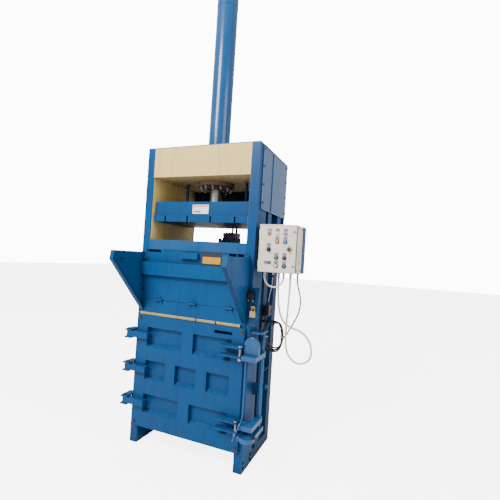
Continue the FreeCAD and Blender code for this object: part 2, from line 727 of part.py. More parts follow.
def route_wire(points, bend=None):
    """Straight runs joined by tangent arcs, as wide as 0.45 of the shorter run allows unless a bend is given."""
    points = [Vector(*p) for p in points]
    edges, start, radii = [], points[0], []
    for before, corner, after in zip(points, points[1:], points[2:]):
        into, out = (corner - before), (after - corner)
        half_turn = into.getAngle(out) / 2
        radius = bend or 0.45 * min(into.Length, out.Length) / math.tan(half_turn)
        run = radius * math.tan(half_turn)
        into.normalize()
        out.normalize()
        enter, leave = corner - into * run, corner + out * run
        middle = corner + (out - into).normalize() * radius * (1 / math.cos(half_turn) - 1)
        edges.append(Part.LineSegment(start, enter).toShape())
        edges.append(Part.Arc(enter, middle, leave).toShape())
        start = leave
        radii.append(radius)
    edges.append(Part.LineSegment(start, points[-1]).toShape())
    route_wire.radii = radii
    return Part.Wire(edges)


def swept(wire, radius):
    """A round solid along a smooth wire, with its volume compared with section times length."""
    first = wire.Edges[0]
    way = first.tangentAt(first.FirstParameter)
    ring = Part.Wire(Part.Circle(first.valueAt(first.FirstParameter), way, radius).toShape())
    solid = wire.makePipeShell([ring], True, False)
    expected = math.pi * radius ** 2 * wire.Length
    if abs(solid.Volume / expected - 1) > 0.01:
        raise RuntimeError(f"a sweep has volume {solid.Volume:.0f}, not {expected:.0f}")
    return solid


# ---------------------------------------------------------------- interlock on the right post
def interlock_pieces():
    y = front - band_sheet
    body = doc.addObject("PartDesign::Body", "interlock_plate")
    clear = gate_half_width + gap + cheek_sheet + 1
    lean = [(clear, 1448), (half_width + 70, 1448), (half_width + 42, 1150), (half_width - 8, 1150)]
    pad = profile_pad(body, "XZ_Plane", lean, band_sheet, "interlock")
    place(body, 0, front, 0)
    publish("interlock_plate", body)
    x, z = half_width + 2, 1384
    publish("interlock_switch", fuse(
        block((x - 27, x + 27), (y - 24, y), (z - 42, z + 14)), rod(27, (x, y - 24, z + 14), 24, "y"),
        rod(17, (x, y - 32, z + 10), 8, "y"), block((x - 5, x + 5), (y - 38, y - 32), (z - 10, z + 30))))
    lock_body = block((half_width + 2, half_width + 46), (y - 22, y - 2), (1222, 1270))
    shackle = fuse(rod(4, (half_width + 11, y - 12, 1270), 32), rod(4, (half_width + 37, y - 12, 1270), 32),
                   block((half_width + 7, half_width + 41), (y - 16, y - 8), (1298, 1306)))
    keyway = rod(5, (half_width + 24, y - 12, 1222), 6)
    staple = block((half_width + 20, half_width + 28), (y - 20, y), (1284, 1298))
    publish("padlock", cut(fuse(lock_body, shackle, staple), keyway))


# ---------------------------------------------------------------- control box
box_left = half_width + box_gap
box_right = box_left + box_width
box_face = front - box_door_depth
box_rear = front + box_depth
box_top = box_bottom + box_height
box_axis_x = box_left - 5
box_axis_y = front - 4
# cable radius and place of each gland under the box
GLANDS = {"loop_start": (7, 602, -225), "sensor": (3.5, 664, -200), "swag_start": (8, 712, -195),
          "loop_end": (7, 760, -225), "swag_end": (8, 812, -210), "motor": (6, 858, -172)}

# name, kind, column, row: columns and rows count from the upper left lamp
CONTROLS = (("orange", "button", 1, 1), ("blue", "button", 2, 1), ("green", "button", 1, 3),
            ("black", "button", 2, 3), ("cream", "button", 1, 4), ("navy", "button", 2, 4),
            ("black", "selector", 0, 2), ("yellow", "selector", 2.55, 1.9))


def control_place(column, row):
    return (box_left + button_inset + button_pitch * column,
            box_top - button_drop - button_row_pitch * row)


def control_box_pieces():
    s = box_sheet
    rim = front + gasket
    shell = cut(block((box_left, box_right), (rim, box_rear), (box_bottom, box_top)),
                block((box_left + s, box_right - s), (rim, box_rear - s), (box_bottom + s, box_top - s)))
    glands = []
    for cable, x, y in GLANDS.values():
        glands += [hexagon(2 * cable + 12, (x, y, box_bottom - 8), 8),
                   rod(cable + 3, (x, y, box_bottom - gland_drop), gland_drop)]
    hinges = [(box_bottom + 40, box_bottom + 40 + hinge_length), (box_top - 40 - hinge_length, box_top - 40)]
    leaves = []
    for low, high in hinges:
        middle = (low + high) / 2
        leaves += [block((box_axis_x, box_left), (box_axis_y + 4.5, rim + 14), (low, middle)),
                   rod(4.5, (box_axis_x, box_axis_y, low), middle - low),
                   rod(2.5, (box_axis_x, box_axis_y, middle), high - middle)]
    publish("box_body", fuse(shell, *glands, *leaves))
    publish("box_gasket", cut(
        block((box_left + 1, box_right - 1), (front, rim), (box_bottom + 1, box_top - 1)),
        block((box_left + 12, box_right - 12), (front, rim), (box_bottom + 12, box_top - 12))))

    back_face = front - 0.4
    door_shell = cut(block((box_left, box_right), (box_face, back_face), (box_bottom, box_top)),
                     block((box_left + s, box_right - s), (box_face + s, back_face),
                           (box_bottom + s, box_top - s)))
    places = [control_place(c, r) for _, _, c, r in CONTROLS] + [control_place(c, 0) for c in (0, 1, 2)]
    holes = [rod(button_radius + button_fit, spread(at, box_face), s, "y") for at in places]
    knuckles = []
    for low, high in hinges:
        middle = (low + high) / 2 + 0.5
        knuckles += [cut(fuse(rod(4.5, (box_axis_x, box_axis_y, middle), high - middle),
                              block((box_axis_x, box_left), (box_axis_y - 4.5, box_axis_y),
                                    (middle, high))),
                         rod(2.5 + running_gap, (box_axis_x, box_axis_y, middle), high - middle))]
    catch = rod(9, (box_right - 16, box_face - 4, box_bottom + box_height / 2), 4, "y")
    publish("box_door", fuse(cut(door_shell, *holes), *knuckles, catch))

    stand_x, stand_z = (box_left + 14, box_right + 5), (box_bottom - 3, box_top + 3)
    stand_y = (box_rear, box_rear + box_stand_depth)
    stand = cut(block(stand_x, stand_y, stand_z),
                block((stand_x[0] + 4, stand_x[1] - 4), (box_rear + 4, stand_y[1]),
                      (stand_z[0] + 4, stand_z[1] - 4)))
    arms = [block((inner + side_plate, stand_x[0]), (stand_y[1] - 40, stand_y[1]), (z, z + 40))
            for z in (box_bottom + 42, box_top - 82)]
    publish("box_bracket", fuse(stand, *arms))

    lamps = []
    for column in (0, 1, 2):
        x, y, z = spread(control_place(column, 0), box_face)
        lamps.append(fuse(rod(button_radius, (x, y - 9, z), 24, "y"), rod(16, (x, y - 3, z), 3, "y")))
    publish("pilot_lamps", group(lamps))
    for name, kind, column, row in CONTROLS:
        x, y, z = spread(control_place(column, row), box_face)
        if kind == "button":
            cap = fuse(rod(button_radius - 1.2, (x, y - 4 - button_travel, z), 22, "y"),
                       rod(button_radius, (x, y + box_sheet + 0.8, z), 6, "y"))
        else:
            cap = fuse(rod(button_radius, (x, y - 6, z), 20, "y"),
                       block((x - 4, x + 4), (y - 18, y - 6), (z - 11, z + 11)))
        publish(f"{kind}_{name}", cap)


def spread(place_xz, y):
    x, z = place_xz
    return x, y, z


# ---------------------------------------------------------------- power pack behind the machine
tank_x = size(-19)
tank_y = (back, back + tank_depth)


def power_pack_pieces():
    x = (tank_x - tank_width / 2, tank_x + tank_width / 2)
    top = tank_bottom + tank_height
    tank = block(x, tank_y, (tank_bottom, top))
    hollow = block((x[0] + 4, x[1] - 4), (tank_y[0] + 4, tank_y[1] - 4), (tank_bottom + 4, top))
    lid = block((x[0] - 12, x[1] + 12), (tank_y[0], tank_y[1] + 12), (top, top + 10))
    filler = rod(28, (x[1] - 60, tank_y[1] - 60, top + 10), 40)
    publish("oil_tank", fuse(cut(tank, hollow), lid, filler))

    mx, my, low = tank_x, back + motor_setback, top + 10
    flange = rod(motor_radius + 14, (mx, my, low), 14)
    body = rod(motor_radius, (mx, my, low + 14), motor_height)
    fan_cover = rod(motor_radius + 4, (mx, my, low + 14 + motor_height), 36)
    terminal = block((mx - motor_radius - 38, mx - motor_radius + 12), (my - 50, my + 50),
                     (low + 50, low + 130))
    publish("pump_motor", fuse(flange, body, fan_cover, terminal))

    manifold = block((pipe_x[0] - 35, pipe_x[1] + 35), (pipe_y - 25, pipe_y + 25), (top + 10, top + 100))
    coils = [rod(19, (x, pipe_y, top + 62), 62, "x") for x in (pipe_x[0] - 97, pipe_x[1] + 35)]
    publish("valve_block", fuse(manifold, *coils))

    foot = top + 100
    to_lower = [(pipe_x[0], pipe_y, foot), (pipe_x[0], pipe_y, lower_port),
                (pipe_x[0], upper_back - 130, lower_port), (0, port_face + 80, lower_port),
                (0, port_face, lower_port)]
    to_upper = [(pipe_x[1], pipe_y, foot), (pipe_x[1], pipe_y, riser_foot),
                (riser_x, riser_y, riser_foot), (riser_x, riser_y, upper_port)]
    publish("hydraulic_pipes", group([bent_rod(to_lower, pipe_radius, pipe_bend),
                                      bent_rod(to_upper, pipe_radius, pipe_bend)]))


# ---------------------------------------------------------------- cords
def cord(node, points, radius):
    """A flexible cord's plain tube; its route is a list chosen by hand."""
    wire = route_wire(points)
    radii = route_wire.radii
    feature = doc.addObject("Part::Feature", node)
    feature.Shape = swept(wire, radius)
    print(f"{node}: length {wire.Length:.0f}, tightest radius {min(radii):.0f} "
          f"({min(radii) / radius / 2:.1f} diameters)")
    publish(node, feature)


def cord_pieces():
    """Cables that hang between the control box and the junction box on the right side frame."""
    cord("loop_conduit", [
        (602, -225, 1554), (602, -225, 1523), (614, -226, 1494), (636, -227, 1472), (665, -227, 1460),
        (697, -227, 1460), (726, -227, 1472), (748, -226, 1494), (760, -225, 1523), (760, -225, 1554)], 7)
    cord("swag_conduit", [
        (712, -195, 1554), (712, -195, 1470), (716, -190, 1380), (724, -182, 1290), (744, -168, 1212),
        (783, -152, 1162), (837, -139, 1139), (893, -129, 1124), (940, -120, 1089), (972, -114, 1042),
        (987, -110, 988), (987, -107, 931), (958, -105, 884), (909, -105, 860), (855, -107, 866),
        (812, -110, 900), (786, -114, 950), (776, -119, 1013), (776, -127, 1085), (781, -140, 1165),
        (789, -156, 1252), (798, -174, 1345), (806, -194, 1430), (812, -210, 1500), (812, -210, 1554)], 8)
    cord("sensor_cable", [
        (664, -200, 1554), (664, -200, 1510), (652, -176, 1466), (633, -133, 1430), (612, -84, 1400),
        (591, -36, 1370), (572, 6, 1338), (572, 6, 1296)], 3.5)
    cord("motor_cable", [
        (858, -172, 1554), (858, -172, 1506), (874, -166, 1448), (889, -156, 1382), (887, -144, 1312),
        (866, -131, 1242), (832, -114, 1176), (795, -97, 1116), (767, -81, 1058), (754.5, -70, 1000)], 6)
    cord("motor_cable_tail", [
        (565.5, -70, 1000), (564, -67, 1046), (563, -50, 1094), (565, -30, 1136), (565, -30, 1177)], 6)


def hank_pieces():
    """The spare length of motor cable in an oval hank, and the hook that it hangs on."""
    r, hole = hank_radius, hank_radius - hank_band
    y = (hank_y - hank_depth / 2, hank_y + hank_depth / 2)
    low, high = hank_bottom + r, hank_top - r
    shapes = [fuse(block((hank_x - radius, hank_x + radius), y, (low, high)),
                   rod(radius, (hank_x, y[0], low), hank_depth, "y"),
                   rod(radius, (hank_x, y[0], high), hank_depth, "y")) for radius in (r, hole)]
    publish("motor_cable_hank", cut(*shapes))
    peg_z = hank_top - hank_band - 6.5
    publish("cable_hook", fuse(
        block((half_width, hank_x + 8), (-22, -12), (peg_z - 10, peg_z + 10)),
        rod(6, (hank_x, hank_y - 38, peg_z), -12 - hank_y + 38, "y"),
        rod(13, (hank_x, hank_y - 38, peg_z), 5, "y")))
    publish("side_junction", fuse(block((half_width, half_width + 50), (-48, 40), (1195, 1280)),
                                  rod(10, (565, -30, 1177), 18), rod(8, (572, 6, 1280), 16)))


frame_pieces()
cheek_pieces()
ram_pieces()
gate_pins = gate_pieces()
door_pins = door_pieces()
lock_pin = lock_pieces()
publish("pivot_pins", group(gate_pins + door_pins + [lock_pin]))
interlock_pieces()
control_box_pieces()
power_pack_pieces()
cord_pieces()
hank_pieces()


# ---------------------------------------------------------------- check and write
doc.recompute()
os.makedirs("parts", exist_ok=True)
for thing in doc.Objects:
    if {"Invalid", "Error"} & set(thing.State):
        raise RuntimeError(f"{thing.Name} ({thing.Label}) failed to compute: {thing.State}")
for thing in parts:
    if thing.Shape.isNull() or not thing.Shape.isValid() or not thing.Shape.Solids:
        raise RuntimeError(f"{thing.Label} has no valid solid")
for thing in parts:
    thing.Shape.exportStep(f"parts/{thing.Label}.step")
print(f"{len(parts)} nodes written")
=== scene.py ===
"""Looks of the recycling baler: camera, hanging cables, paint, wear and small fittings."""
import bpy
import json
import math
from mathutils import Euler, Matrix, Vector


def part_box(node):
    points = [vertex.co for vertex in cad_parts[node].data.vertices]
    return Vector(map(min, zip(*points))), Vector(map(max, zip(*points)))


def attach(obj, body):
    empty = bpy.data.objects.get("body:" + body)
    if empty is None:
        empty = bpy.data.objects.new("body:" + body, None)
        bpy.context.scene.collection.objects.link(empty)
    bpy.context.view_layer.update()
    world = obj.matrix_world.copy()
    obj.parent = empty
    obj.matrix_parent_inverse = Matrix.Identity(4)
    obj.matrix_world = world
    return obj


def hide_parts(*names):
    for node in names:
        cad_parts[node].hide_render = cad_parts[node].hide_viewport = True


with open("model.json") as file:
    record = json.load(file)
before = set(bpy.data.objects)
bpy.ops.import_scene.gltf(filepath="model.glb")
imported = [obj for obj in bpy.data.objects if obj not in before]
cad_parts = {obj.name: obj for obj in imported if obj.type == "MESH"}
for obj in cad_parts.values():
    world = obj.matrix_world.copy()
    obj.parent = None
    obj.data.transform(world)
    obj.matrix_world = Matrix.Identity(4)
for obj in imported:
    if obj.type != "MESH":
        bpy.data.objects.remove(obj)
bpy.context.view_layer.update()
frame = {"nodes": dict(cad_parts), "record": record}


def drop_selection():
    for thing in bpy.context.selected_objects:
        thing.select_set(False)


drop_selection()


# ---------------------------------------------------------------- camera
def set_camera():
    """The eye stands low and to the right of the machine, with a wide lens and a slight roll."""
    yaw, pitch, roll = 0.385, 0.023, 0.061
    ahead = Vector((-math.sin(yaw) * math.cos(pitch), math.cos(yaw) * math.cos(pitch), math.sin(pitch)))
    level = Vector((math.cos(yaw), math.sin(yaw), 0))
    over = level.cross(ahead)
    right = math.cos(roll) * level + math.sin(roll) * over
    up = -math.sin(roll) * level + math.cos(roll) * over
    lens = bpy.data.cameras.new("camera")
    lens.sensor_width = 36
    lens.lens = 25.457
    camera = bpy.data.objects.new("camera", lens)
    camera.matrix_world = Matrix.Translation((1.5453, -2.8939, 1.6759)) @ Matrix(
        (right, up, -ahead)).transposed().to_4x4()
    bpy.context.collection.objects.link(camera)
    bpy.context.scene.camera = camera


set_camera()


# ---------------------------------------------------------------- paint and metal
def add(tree, kind, inputs=None, **settings):
    """One shader node; an input is a plain value or another node's socket."""
    made = tree.nodes.new("ShaderNode" + kind)
    for key, value in settings.items():
        setattr(made, key, value)
    for key, value in (inputs or {}).items():
        if isinstance(value, bpy.types.NodeSocket):
            tree.links.new(value, made.inputs[key])
        else:
            made.inputs[key].default_value = value
    return made


def effect(name, inputs, outputs):
    """An empty shader effect with named inputs and outputs."""
    tree = bpy.data.node_groups.new(name, "ShaderNodeTree")
    for label, value in inputs.items():
        kind = "NodeSocketFloat" if isinstance(value, (int, float)) else "NodeSocketColor"
        tree.interface.new_socket(label, in_out="INPUT", socket_type=kind).default_value = value
    for label in outputs:
        kind = "NodeSocketColor" if label == "Color" else "NodeSocketFloat"
        tree.interface.new_socket(label, in_out="OUTPUT", socket_type=kind)
    return tree, tree.nodes.new("NodeGroupInput").outputs, tree.nodes.new("NodeGroupOutput").inputs


def noise(tree, place, scale, detail=4, stretch=None, turn=(0, 0, 0)):
    """Cloudy noise, drawn out along an axis when stretch is given."""
    if stretch:
        place = add(tree, "Mapping", {"Vector": place, "Scale": stretch, "Rotation": turn}).outputs[0]
    return add(tree, "TexNoise", {"Vector": place, "Scale": scale, "Detail": detail}).outputs["Fac"]


def ramp(tree, value, low, high, start=0.0, end=1.0):
    """Runs from start to end while value runs from low to high."""
    return add(tree, "MapRange", {"Value": value, "From Min": low, "From Max": high,
                                  "To Min": start, "To Max": end}).outputs[0]


def times(tree, *values, operation="MULTIPLY"):
    """Values multiplied together, or joined by another operation."""
    total = values[0]
    for value in values[1:]:
        total = add(tree, "Math", {0: total, 1: value}, operation=operation).outputs[0]
    return total


def tint(tree, mask, under, over):
    """Lays one colour over another where the mask is high."""
    return add(tree, "MixRGB", {"Fac": mask, "Color1": under, "Color2": over}).outputs[0]


def enamel_wear():
    """Fading, runs, floor splash, dust on ledges, scratches and chips on enamel, with painted shade darkening
    recesses, down-facing faces and the lower right side.
    """
    tree, given, out = effect("enamel_wear", {
        "Paint": (0.1, 0.2, 0.4, 1), "Faded": (0.2, 0.3, 0.5, 1), "Grime": (0.01, 0.015, 0.03, 1),
        "Dust": (0.35, 0.33, 0.3, 1), "Fading": 0.5, "Dirt": 0.5, "Underside": 0.6, "Scratching": 0.4,
        "Gloss": 0.35, "Flank": 0.0, "Scale": 1.0},
        ("Color", "Roughness", "Metallic", "Height"))
    place = add(tree, "TexCoord").outputs["Object"]
    grow = add(tree, "VectorMath", {0: place, "Scale": given["Scale"]}, operation="SCALE").outputs[0]
    clouds = noise(tree, grow, 2.1, 5)
    fine = noise(tree, grow, 34, 6)
    peel = noise(tree, grow, 260, 2)
    runs = noise(tree, grow, 4, 5, (6, 6, 0.55))
    faded = times(tree, ramp(tree, clouds, 0.38, 0.68), given["Fading"])
    colour = tint(tree, faded, given["Paint"], given["Faded"])
    speckle = times(tree, ramp(tree, fine, 0.5, 0.75), given["Fading"], 0.35)
    colour = tint(tree, speckle, colour, given["Faded"])
    lines = noise(tree, grow, 6, 3, (1, 1, 22), (0.3, 0.9, 0.2))
    cross = noise(tree, grow, 6, 3, (24, 24, 1.2), (0.2, 0.15, 0))
    scratch = times(tree, ramp(tree, times(tree, lines, cross, operation="MAXIMUM"), 0.7, 0.76),
                    ramp(tree, clouds, 0.45, 0.6), given["Scratching"])
    colour = tint(tree, scratch, colour, given["Faded"])
    dots = add(tree, "TexVoronoi", {"Vector": grow, "Scale": 42.0}).outputs["Distance"]
    chips = times(tree, ramp(tree, dots, 0.14, 0.1), ramp(tree, noise(tree, grow, 5.5, 3), 0.58, 0.66),
                  given["Scratching"])
    colour = tint(tree, chips, colour, (0.11, 0.08, 0.065, 1))
    streaks = times(tree, ramp(tree, runs, 0.5, 0.78), given["Dirt"], 0.55)
    colour = tint(tree, streaks, colour, given["Grime"])
    # Painted shade: ambient occlusion darkens recesses and creases towards the dark dirt colour.
    corner = add(tree, "AmbientOcclusion", {"Distance": 0.11}, samples=6).outputs["AO"]
    crevice = times(tree, ramp(tree, corner, 0.95, 0.25), ramp(tree, fine, 0.2, 0.6, 0.65, 1), given["Dirt"])
    colour = tint(tree, crevice, colour, given["Grime"])
    height = add(tree, "SeparateXYZ", {0: place}).outputs["Z"]
    splash = times(tree, ramp(tree, height, 0.38, 0.02), ramp(tree, fine, 0.35, 0.65), given["Dirt"], 0.8)
    colour = tint(tree, splash, colour, given["Grime"])
    facing = add(tree, "SeparateXYZ", {0: add(tree, "NewGeometry").outputs["True Normal"]}).outputs
    up, spot = facing["Z"], add(tree, "SeparateXYZ", {0: place}).outputs
    # Painted shade: faces turned to the right on the right side, low down and behind the front post, are
    # darkened to navy.
    flank = times(tree, ramp(tree, facing["X"], 0.35, 0.85), ramp(tree, height, 2.0, 1.7),
                  ramp(tree, spot["X"], 0.44, 0.46), ramp(tree, spot["Y"], -0.12, -0.09), given["Flank"])
    colour = tint(tree, flank, colour, (0.0, 0.01, 0.042, 1))
    # Painted shade: faces turned downwards are darkened towards the dark dirt colour.
    below = times(tree, ramp(tree, up, -0.15, -0.75), given["Underside"])
    colour = tint(tree, below, colour, given["Grime"])
    lying = times(tree, ramp(tree, up, 0.55, 0.95), ramp(tree, fine, 0.3, 0.7), 0.5)
    colour = tint(tree, lying, colour, given["Dust"])
    tree.links.new(colour, out["Color"])
    rough = times(tree, times(tree, crevice, 0.35), times(tree, lying, 0.5), times(tree, fine, 0.14),
                  times(tree, faded, 0.15), given["Gloss"], operation="ADD")
    tree.links.new(rough, out["Roughness"])
    tree.links.new(times(tree, chips, 0.7), out["Metallic"])
    tree.links.new(times(tree, times(tree, peel, 0.25), times(tree, fine, 0.5), times(tree, chips, -1.2),
                         times(tree, scratch, -0.5), operation="ADD"), out["Height"])
    return tree


def worked_steel():
    """Machining lines, oil, stain and rust on bare steel, and painted shade darkening its recesses."""
    tree, given, out = effect("worked_steel", {
        "Steel": (0.5, 0.5, 0.5, 1), "Stain": (0.1, 0.07, 0.05, 1), "Rust": 0.3, "Scale": 1.0},
        ("Color", "Roughness", "Height"))
    place = add(tree, "TexCoord").outputs["Object"]
    grow = add(tree, "VectorMath", {0: place, "Scale": given["Scale"]}, operation="SCALE").outputs[0]
    lines = noise(tree, grow, 30, 4, (1, 1, 30))
    spots = noise(tree, grow, 26, 7)
    stain = times(tree, ramp(tree, spots, 0.42, 0.66), given["Rust"])
    colour = tint(tree, times(tree, ramp(tree, lines, 0.35, 0.7), 0.35), given["Steel"],
                  (0.09, 0.09, 0.1, 1))
    colour = tint(tree, stain, colour, given["Stain"])
    # Painted shade: ambient occlusion darkens recesses to near black.
    corner = add(tree, "AmbientOcclusion", {"Distance": 0.03}, samples=4).outputs["AO"]
    colour = tint(tree, ramp(tree, corner, 0.8, 0.2, 0, 0.8), colour, (0.012, 0.011, 0.01, 1))
    tree.links.new(colour, out["Color"])
    tree.links.new(times(tree, times(tree, lines, 0.2), times(tree, stain, 0.5), 0.16,
                         operation="ADD"), out["Roughness"])
    tree.links.new(times(tree, times(tree, lines, 0.4), times(tree, stain, 0.8), operation="ADD"),
                   out["Height"])
    return tree


def moulded_skin():
    """Fine texture, handling marks and dust on plastic and rubber."""
    tree, given, out = effect("moulded_skin", {
        "Plastic": (0.5, 0.5, 0.5, 1), "Mark": (0.2, 0.2, 0.2, 1), "Marks": 0.4, "Gloss": 0.4,
        "Scale": 1.0}, ("Color", "Roughness", "Height"))
    place = add(tree, "TexCoord").outputs["Object"]
    grow = add(tree, "VectorMath", {0: place, "Scale": given["Scale"]}, operation="SCALE").outputs[0]
    wide, fine = noise(tree, grow, 9, 5), noise(tree, grow, 420, 3)
    marks = times(tree, ramp(tree, wide, 0.42, 0.7), given["Marks"])
    grit = times(tree, ramp(tree, noise(tree, grow, 90, 4), 0.6, 0.75), given["Marks"], 0.6)
    colour = tint(tree, marks, given["Plastic"], given["Mark"])
    colour = tint(tree, grit, colour, given["Mark"])
    tree.links.new(colour, out["Color"])
    tree.links.new(times(tree, times(tree, marks, 0.3), times(tree, fine, 0.1), given["Gloss"],
                         operation="ADD"), out["Roughness"])
    tree.links.new(times(tree, times(tree, fine, 0.35), times(tree, grit, 0.5), operation="ADD"),
                   out["Height"])
    return tree


ENAMEL, STEEL, SKIN = enamel_wear(), worked_steel(), moulded_skin()


def finish(name, effect_tree, bump, shell=None, **values):
    """A material from one effect; shell holds plain values for the shader's own sockets."""
    made = bpy.data.materials.new(name)
    made.use_nodes = True
    tree = made.node_tree
    shader = tree.nodes["Principled BSDF"]
    group = add(tree, "Group")
    group.node_tree = effect_tree
    for key, value in values.items():
        group.inputs[key.replace("_", " ")].default_value = (*value, 1) if isinstance(value, tuple) else value
    tree.links.new(group.outputs["Color"], shader.inputs["Base Color"])
    tree.links.new(group.outputs["Roughness"], shader.inputs["Roughness"])
    if "Metallic" in group.outputs:
        tree.links.new(group.outputs["Metallic"], shader.inputs["Metallic"])
    raised = add(tree, "Bump", {"Height": group.outputs["Height"], "Strength": bump, "Distance": 0.0012})
    tree.links.new(raised.outputs[0], shader.inputs["Normal"])
    for key, value in (shell or {}).items():
        shader.inputs[key].default_value = value
    return made


# This dark colour is used for dirt streaks and floor splash, and also for painted shade in recesses and on
# downward faces; its navy default is a shade colour.
def enamel(name, paint, faded, grime=(0.0, 0.011, 0.042), coat=0.05, **values):
    return finish(name, ENAMEL, 0.35, {"Coat Weight": coat, "Coat Roughness": 0.15, "Specular IOR Level": 0.14},
                  Paint=paint, Faded=faded, Grime=grime, **values)


def steel(name, metal, stain=(0.09, 0.05, 0.03), rust=0.3, **shell):
    return finish(name, STEEL, 0.25, {"Metallic": 1.0, **shell}, Steel=metal, Stain=stain, Rust=rust)


def plastic(name, colour, mark, gloss=0.35, marks=0.4, **shell):
    return finish(name, SKIN, 0.2, shell, Plastic=colour, Mark=mark, Gloss=gloss, Marks=marks)


BLUE_DUST = (0.018, 0.1, 0.22)
FINISHES = {
    # blue_paint carries painted shade on its lower right side.
    "blue_paint": enamel("blue_paint", (0.0, 0.04, 0.135), (0.002, 0.058, 0.17), Dust=BLUE_DUST, Flank=0.85),
    "light_blue_paint": enamel("light_blue_paint", (0.004, 0.055, 0.165), (0.018, 0.088, 0.22), Gloss=0.2,
                               coat=0.4, Dust=BLUE_DUST),
    "gate_paint": enamel("gate_paint", (0.0, 0.045, 0.145), (0.003, 0.065, 0.18), Scratching=0.7,
                         Dust=BLUE_DUST),
    "rail_paint": enamel("rail_paint", (0.42, 0.32, 0.12), (0.5, 0.4, 0.18), (0.05, 0.04, 0.03), Dirt=0.9,
                         Scratching=0.8),
    # Painted shade: navy_paint is a near-black navy standing for the shade on the rear header.
    "navy_paint": enamel("navy_paint", (0.012, 0.016, 0.045), (0.04, 0.035, 0.07)),
    "cream_paint": enamel("cream_paint", (0.6, 0.43, 0.145), (0.66, 0.49, 0.2),
                          (0.11, 0.08, 0.05), coat=0.1, Dirt=0.4, Scratching=0.25, Gloss=0.45),
    "box_paint": enamel("box_paint", (0.62, 0.55, 0.47), (0.7, 0.62, 0.53), (0.16, 0.13, 0.1),
                        coat=0.1, Dirt=0.28, Scratching=0.3, Gloss=0.42, Underside=0.4),
    "rust_steel": enamel("rust_steel", (0.13, 0.085, 0.06), (0.2, 0.13, 0.09), (0.012, 0.008, 0.006),
                         coat=0.0, Fading=0.9, Scratching=0.8, Gloss=0.55),
    "rod_chrome": steel("rod_chrome", (0.4, 0.4, 0.41), (0.12, 0.1, 0.08), 0.35),
    "bright_steel": steel("bright_steel", (0.3, 0.3, 0.31), rust=0.35),
    "dark_steel": steel("dark_steel", (0.06, 0.06, 0.065), (0.07, 0.035, 0.02), 0.4),
    "brass": steel("brass", (0.62, 0.42, 0.14), (0.16, 0.1, 0.04), 0.3),
    "motor_paint": enamel("motor_paint", (0.13, 0.11, 0.16), (0.2, 0.18, 0.23), coat=0.15),
    "valve_metal": steel("valve_metal", (0.4, 0.41, 0.43), (0.08, 0.08, 0.08), 0.4),
    "lamp_lens": plastic("lamp_lens", (0.5, 0.45, 0.38), (0.3, 0.26, 0.2)),
    "button_orange": plastic("button_orange", (0.72, 0.22, 0.05), (0.4, 0.12, 0.04), 0.22),
    "button_blue": plastic("button_blue", (0.06, 0.13, 0.42), (0.03, 0.06, 0.2), 0.22),
    "button_green": plastic("button_green", (0.05, 0.14, 0.1), (0.03, 0.07, 0.06), 0.22),
    "button_black": plastic("button_black", (0.015, 0.015, 0.017), (0.06, 0.06, 0.06), 0.28),
    "button_cream": plastic("button_cream", (0.68, 0.58, 0.28), (0.4, 0.33, 0.18), 0.25),
    "button_navy": plastic("button_navy", (0.04, 0.07, 0.18), (0.02, 0.03, 0.08), 0.25),
    "button_yellow": plastic("button_yellow", (0.55, 0.46, 0.06), (0.3, 0.25, 0.05), 0.25),
    "conduit_plastic": plastic("conduit_plastic", (0.6, 0.58, 0.56), (0.3, 0.29, 0.28), 0.42, 0.5),
    "cable_grey": plastic("cable_grey", (0.4, 0.4, 0.42), (0.22, 0.22, 0.22), 0.45),
    "cable_black": plastic("cable_black", (0.014, 0.014, 0.016), (0.06, 0.055, 0.05), 0.5),
}
FITTING_FINISHES = {
    "red_lens": plastic("red_lens", (0.3, 0.03, 0.05), (0.16, 0.02, 0.03), 0.12, 0.2),
    "amber_lens": plastic("amber_lens", (0.75, 0.5, 0.12), (0.5, 0.3, 0.06), 0.12, 0.2),
    "violet_lens": plastic("violet_lens", (0.14, 0.1, 0.34), (0.08, 0.05, 0.18), 0.12, 0.2),
    "label_yellow": plastic("label_yellow", (0.5, 0.23, 0.0), (0.34, 0.14, 0.0), 0.6, 0.35),
    "label_white": plastic("label_white", (0.78, 0.76, 0.72), (0.45, 0.42, 0.38), 0.45, 0.4),
    "label_orange": plastic("label_orange", (0.6, 0.22, 0.12), (0.4, 0.16, 0.1), 0.45, 0.4),
    "label_black": plastic("label_black", (0.008, 0.008, 0.009), (0.02, 0.02, 0.02), 0.6, 0.4),
    # Painted highlight: this pale blue is for strips that stand for lit edges on the side covers.
    "trim_paint": enamel("trim_paint", (0.14, 0.26, 0.38), (0.3, 0.42, 0.5), coat=0.2, Underside=0.2),
    "legend_grey": plastic("legend_grey", (0.13, 0.135, 0.16), (0.3, 0.3, 0.32), 0.4, 0.4),
    "tie_nylon": plastic("tie_nylon", (0.5, 0.5, 0.48), (0.25, 0.25, 0.22), 0.5),
}


def paint_frame():
    slots = {piece["node"]: piece["material_slot"] for piece in frame["record"]["subparts"]}
    for name, thing in frame["nodes"].items():
        thing.data.materials.clear()
        thing.data.materials.append(FINISHES["rail_paint" if name == "strap_rail" else slots[name]])


paint_frame()


# ---------------------------------------------------------------- modelling helpers
FACING = {"-y": (math.pi / 2, 0, 0), "+y": (-math.pi / 2, 0, 0), "+x": (0, math.pi / 2, 0),
          "-x": (0, -math.pi / 2, 0), "+z": (0, 0, 0), "-z": (math.pi, 0, 0)}


def alone(thing):
    """Leaves only this thing selected, with its place applied to its mesh."""
    drop_selection()
    thing.select_set(True)
    bpy.context.view_layer.objects.active = thing
    bpy.ops.object.transform_apply(location=True, rotation=True, scale=True)
    return thing


def bake_in(thing):
    """Applies every modifier and smooths the shading up to sharp edges."""
    alone(thing)
    for modifier in list(thing.modifiers):
        bpy.ops.object.modifier_apply(modifier=modifier.name)
    bpy.ops.object.shade_smooth_by_angle(angle=math.radians(38))
    return thing


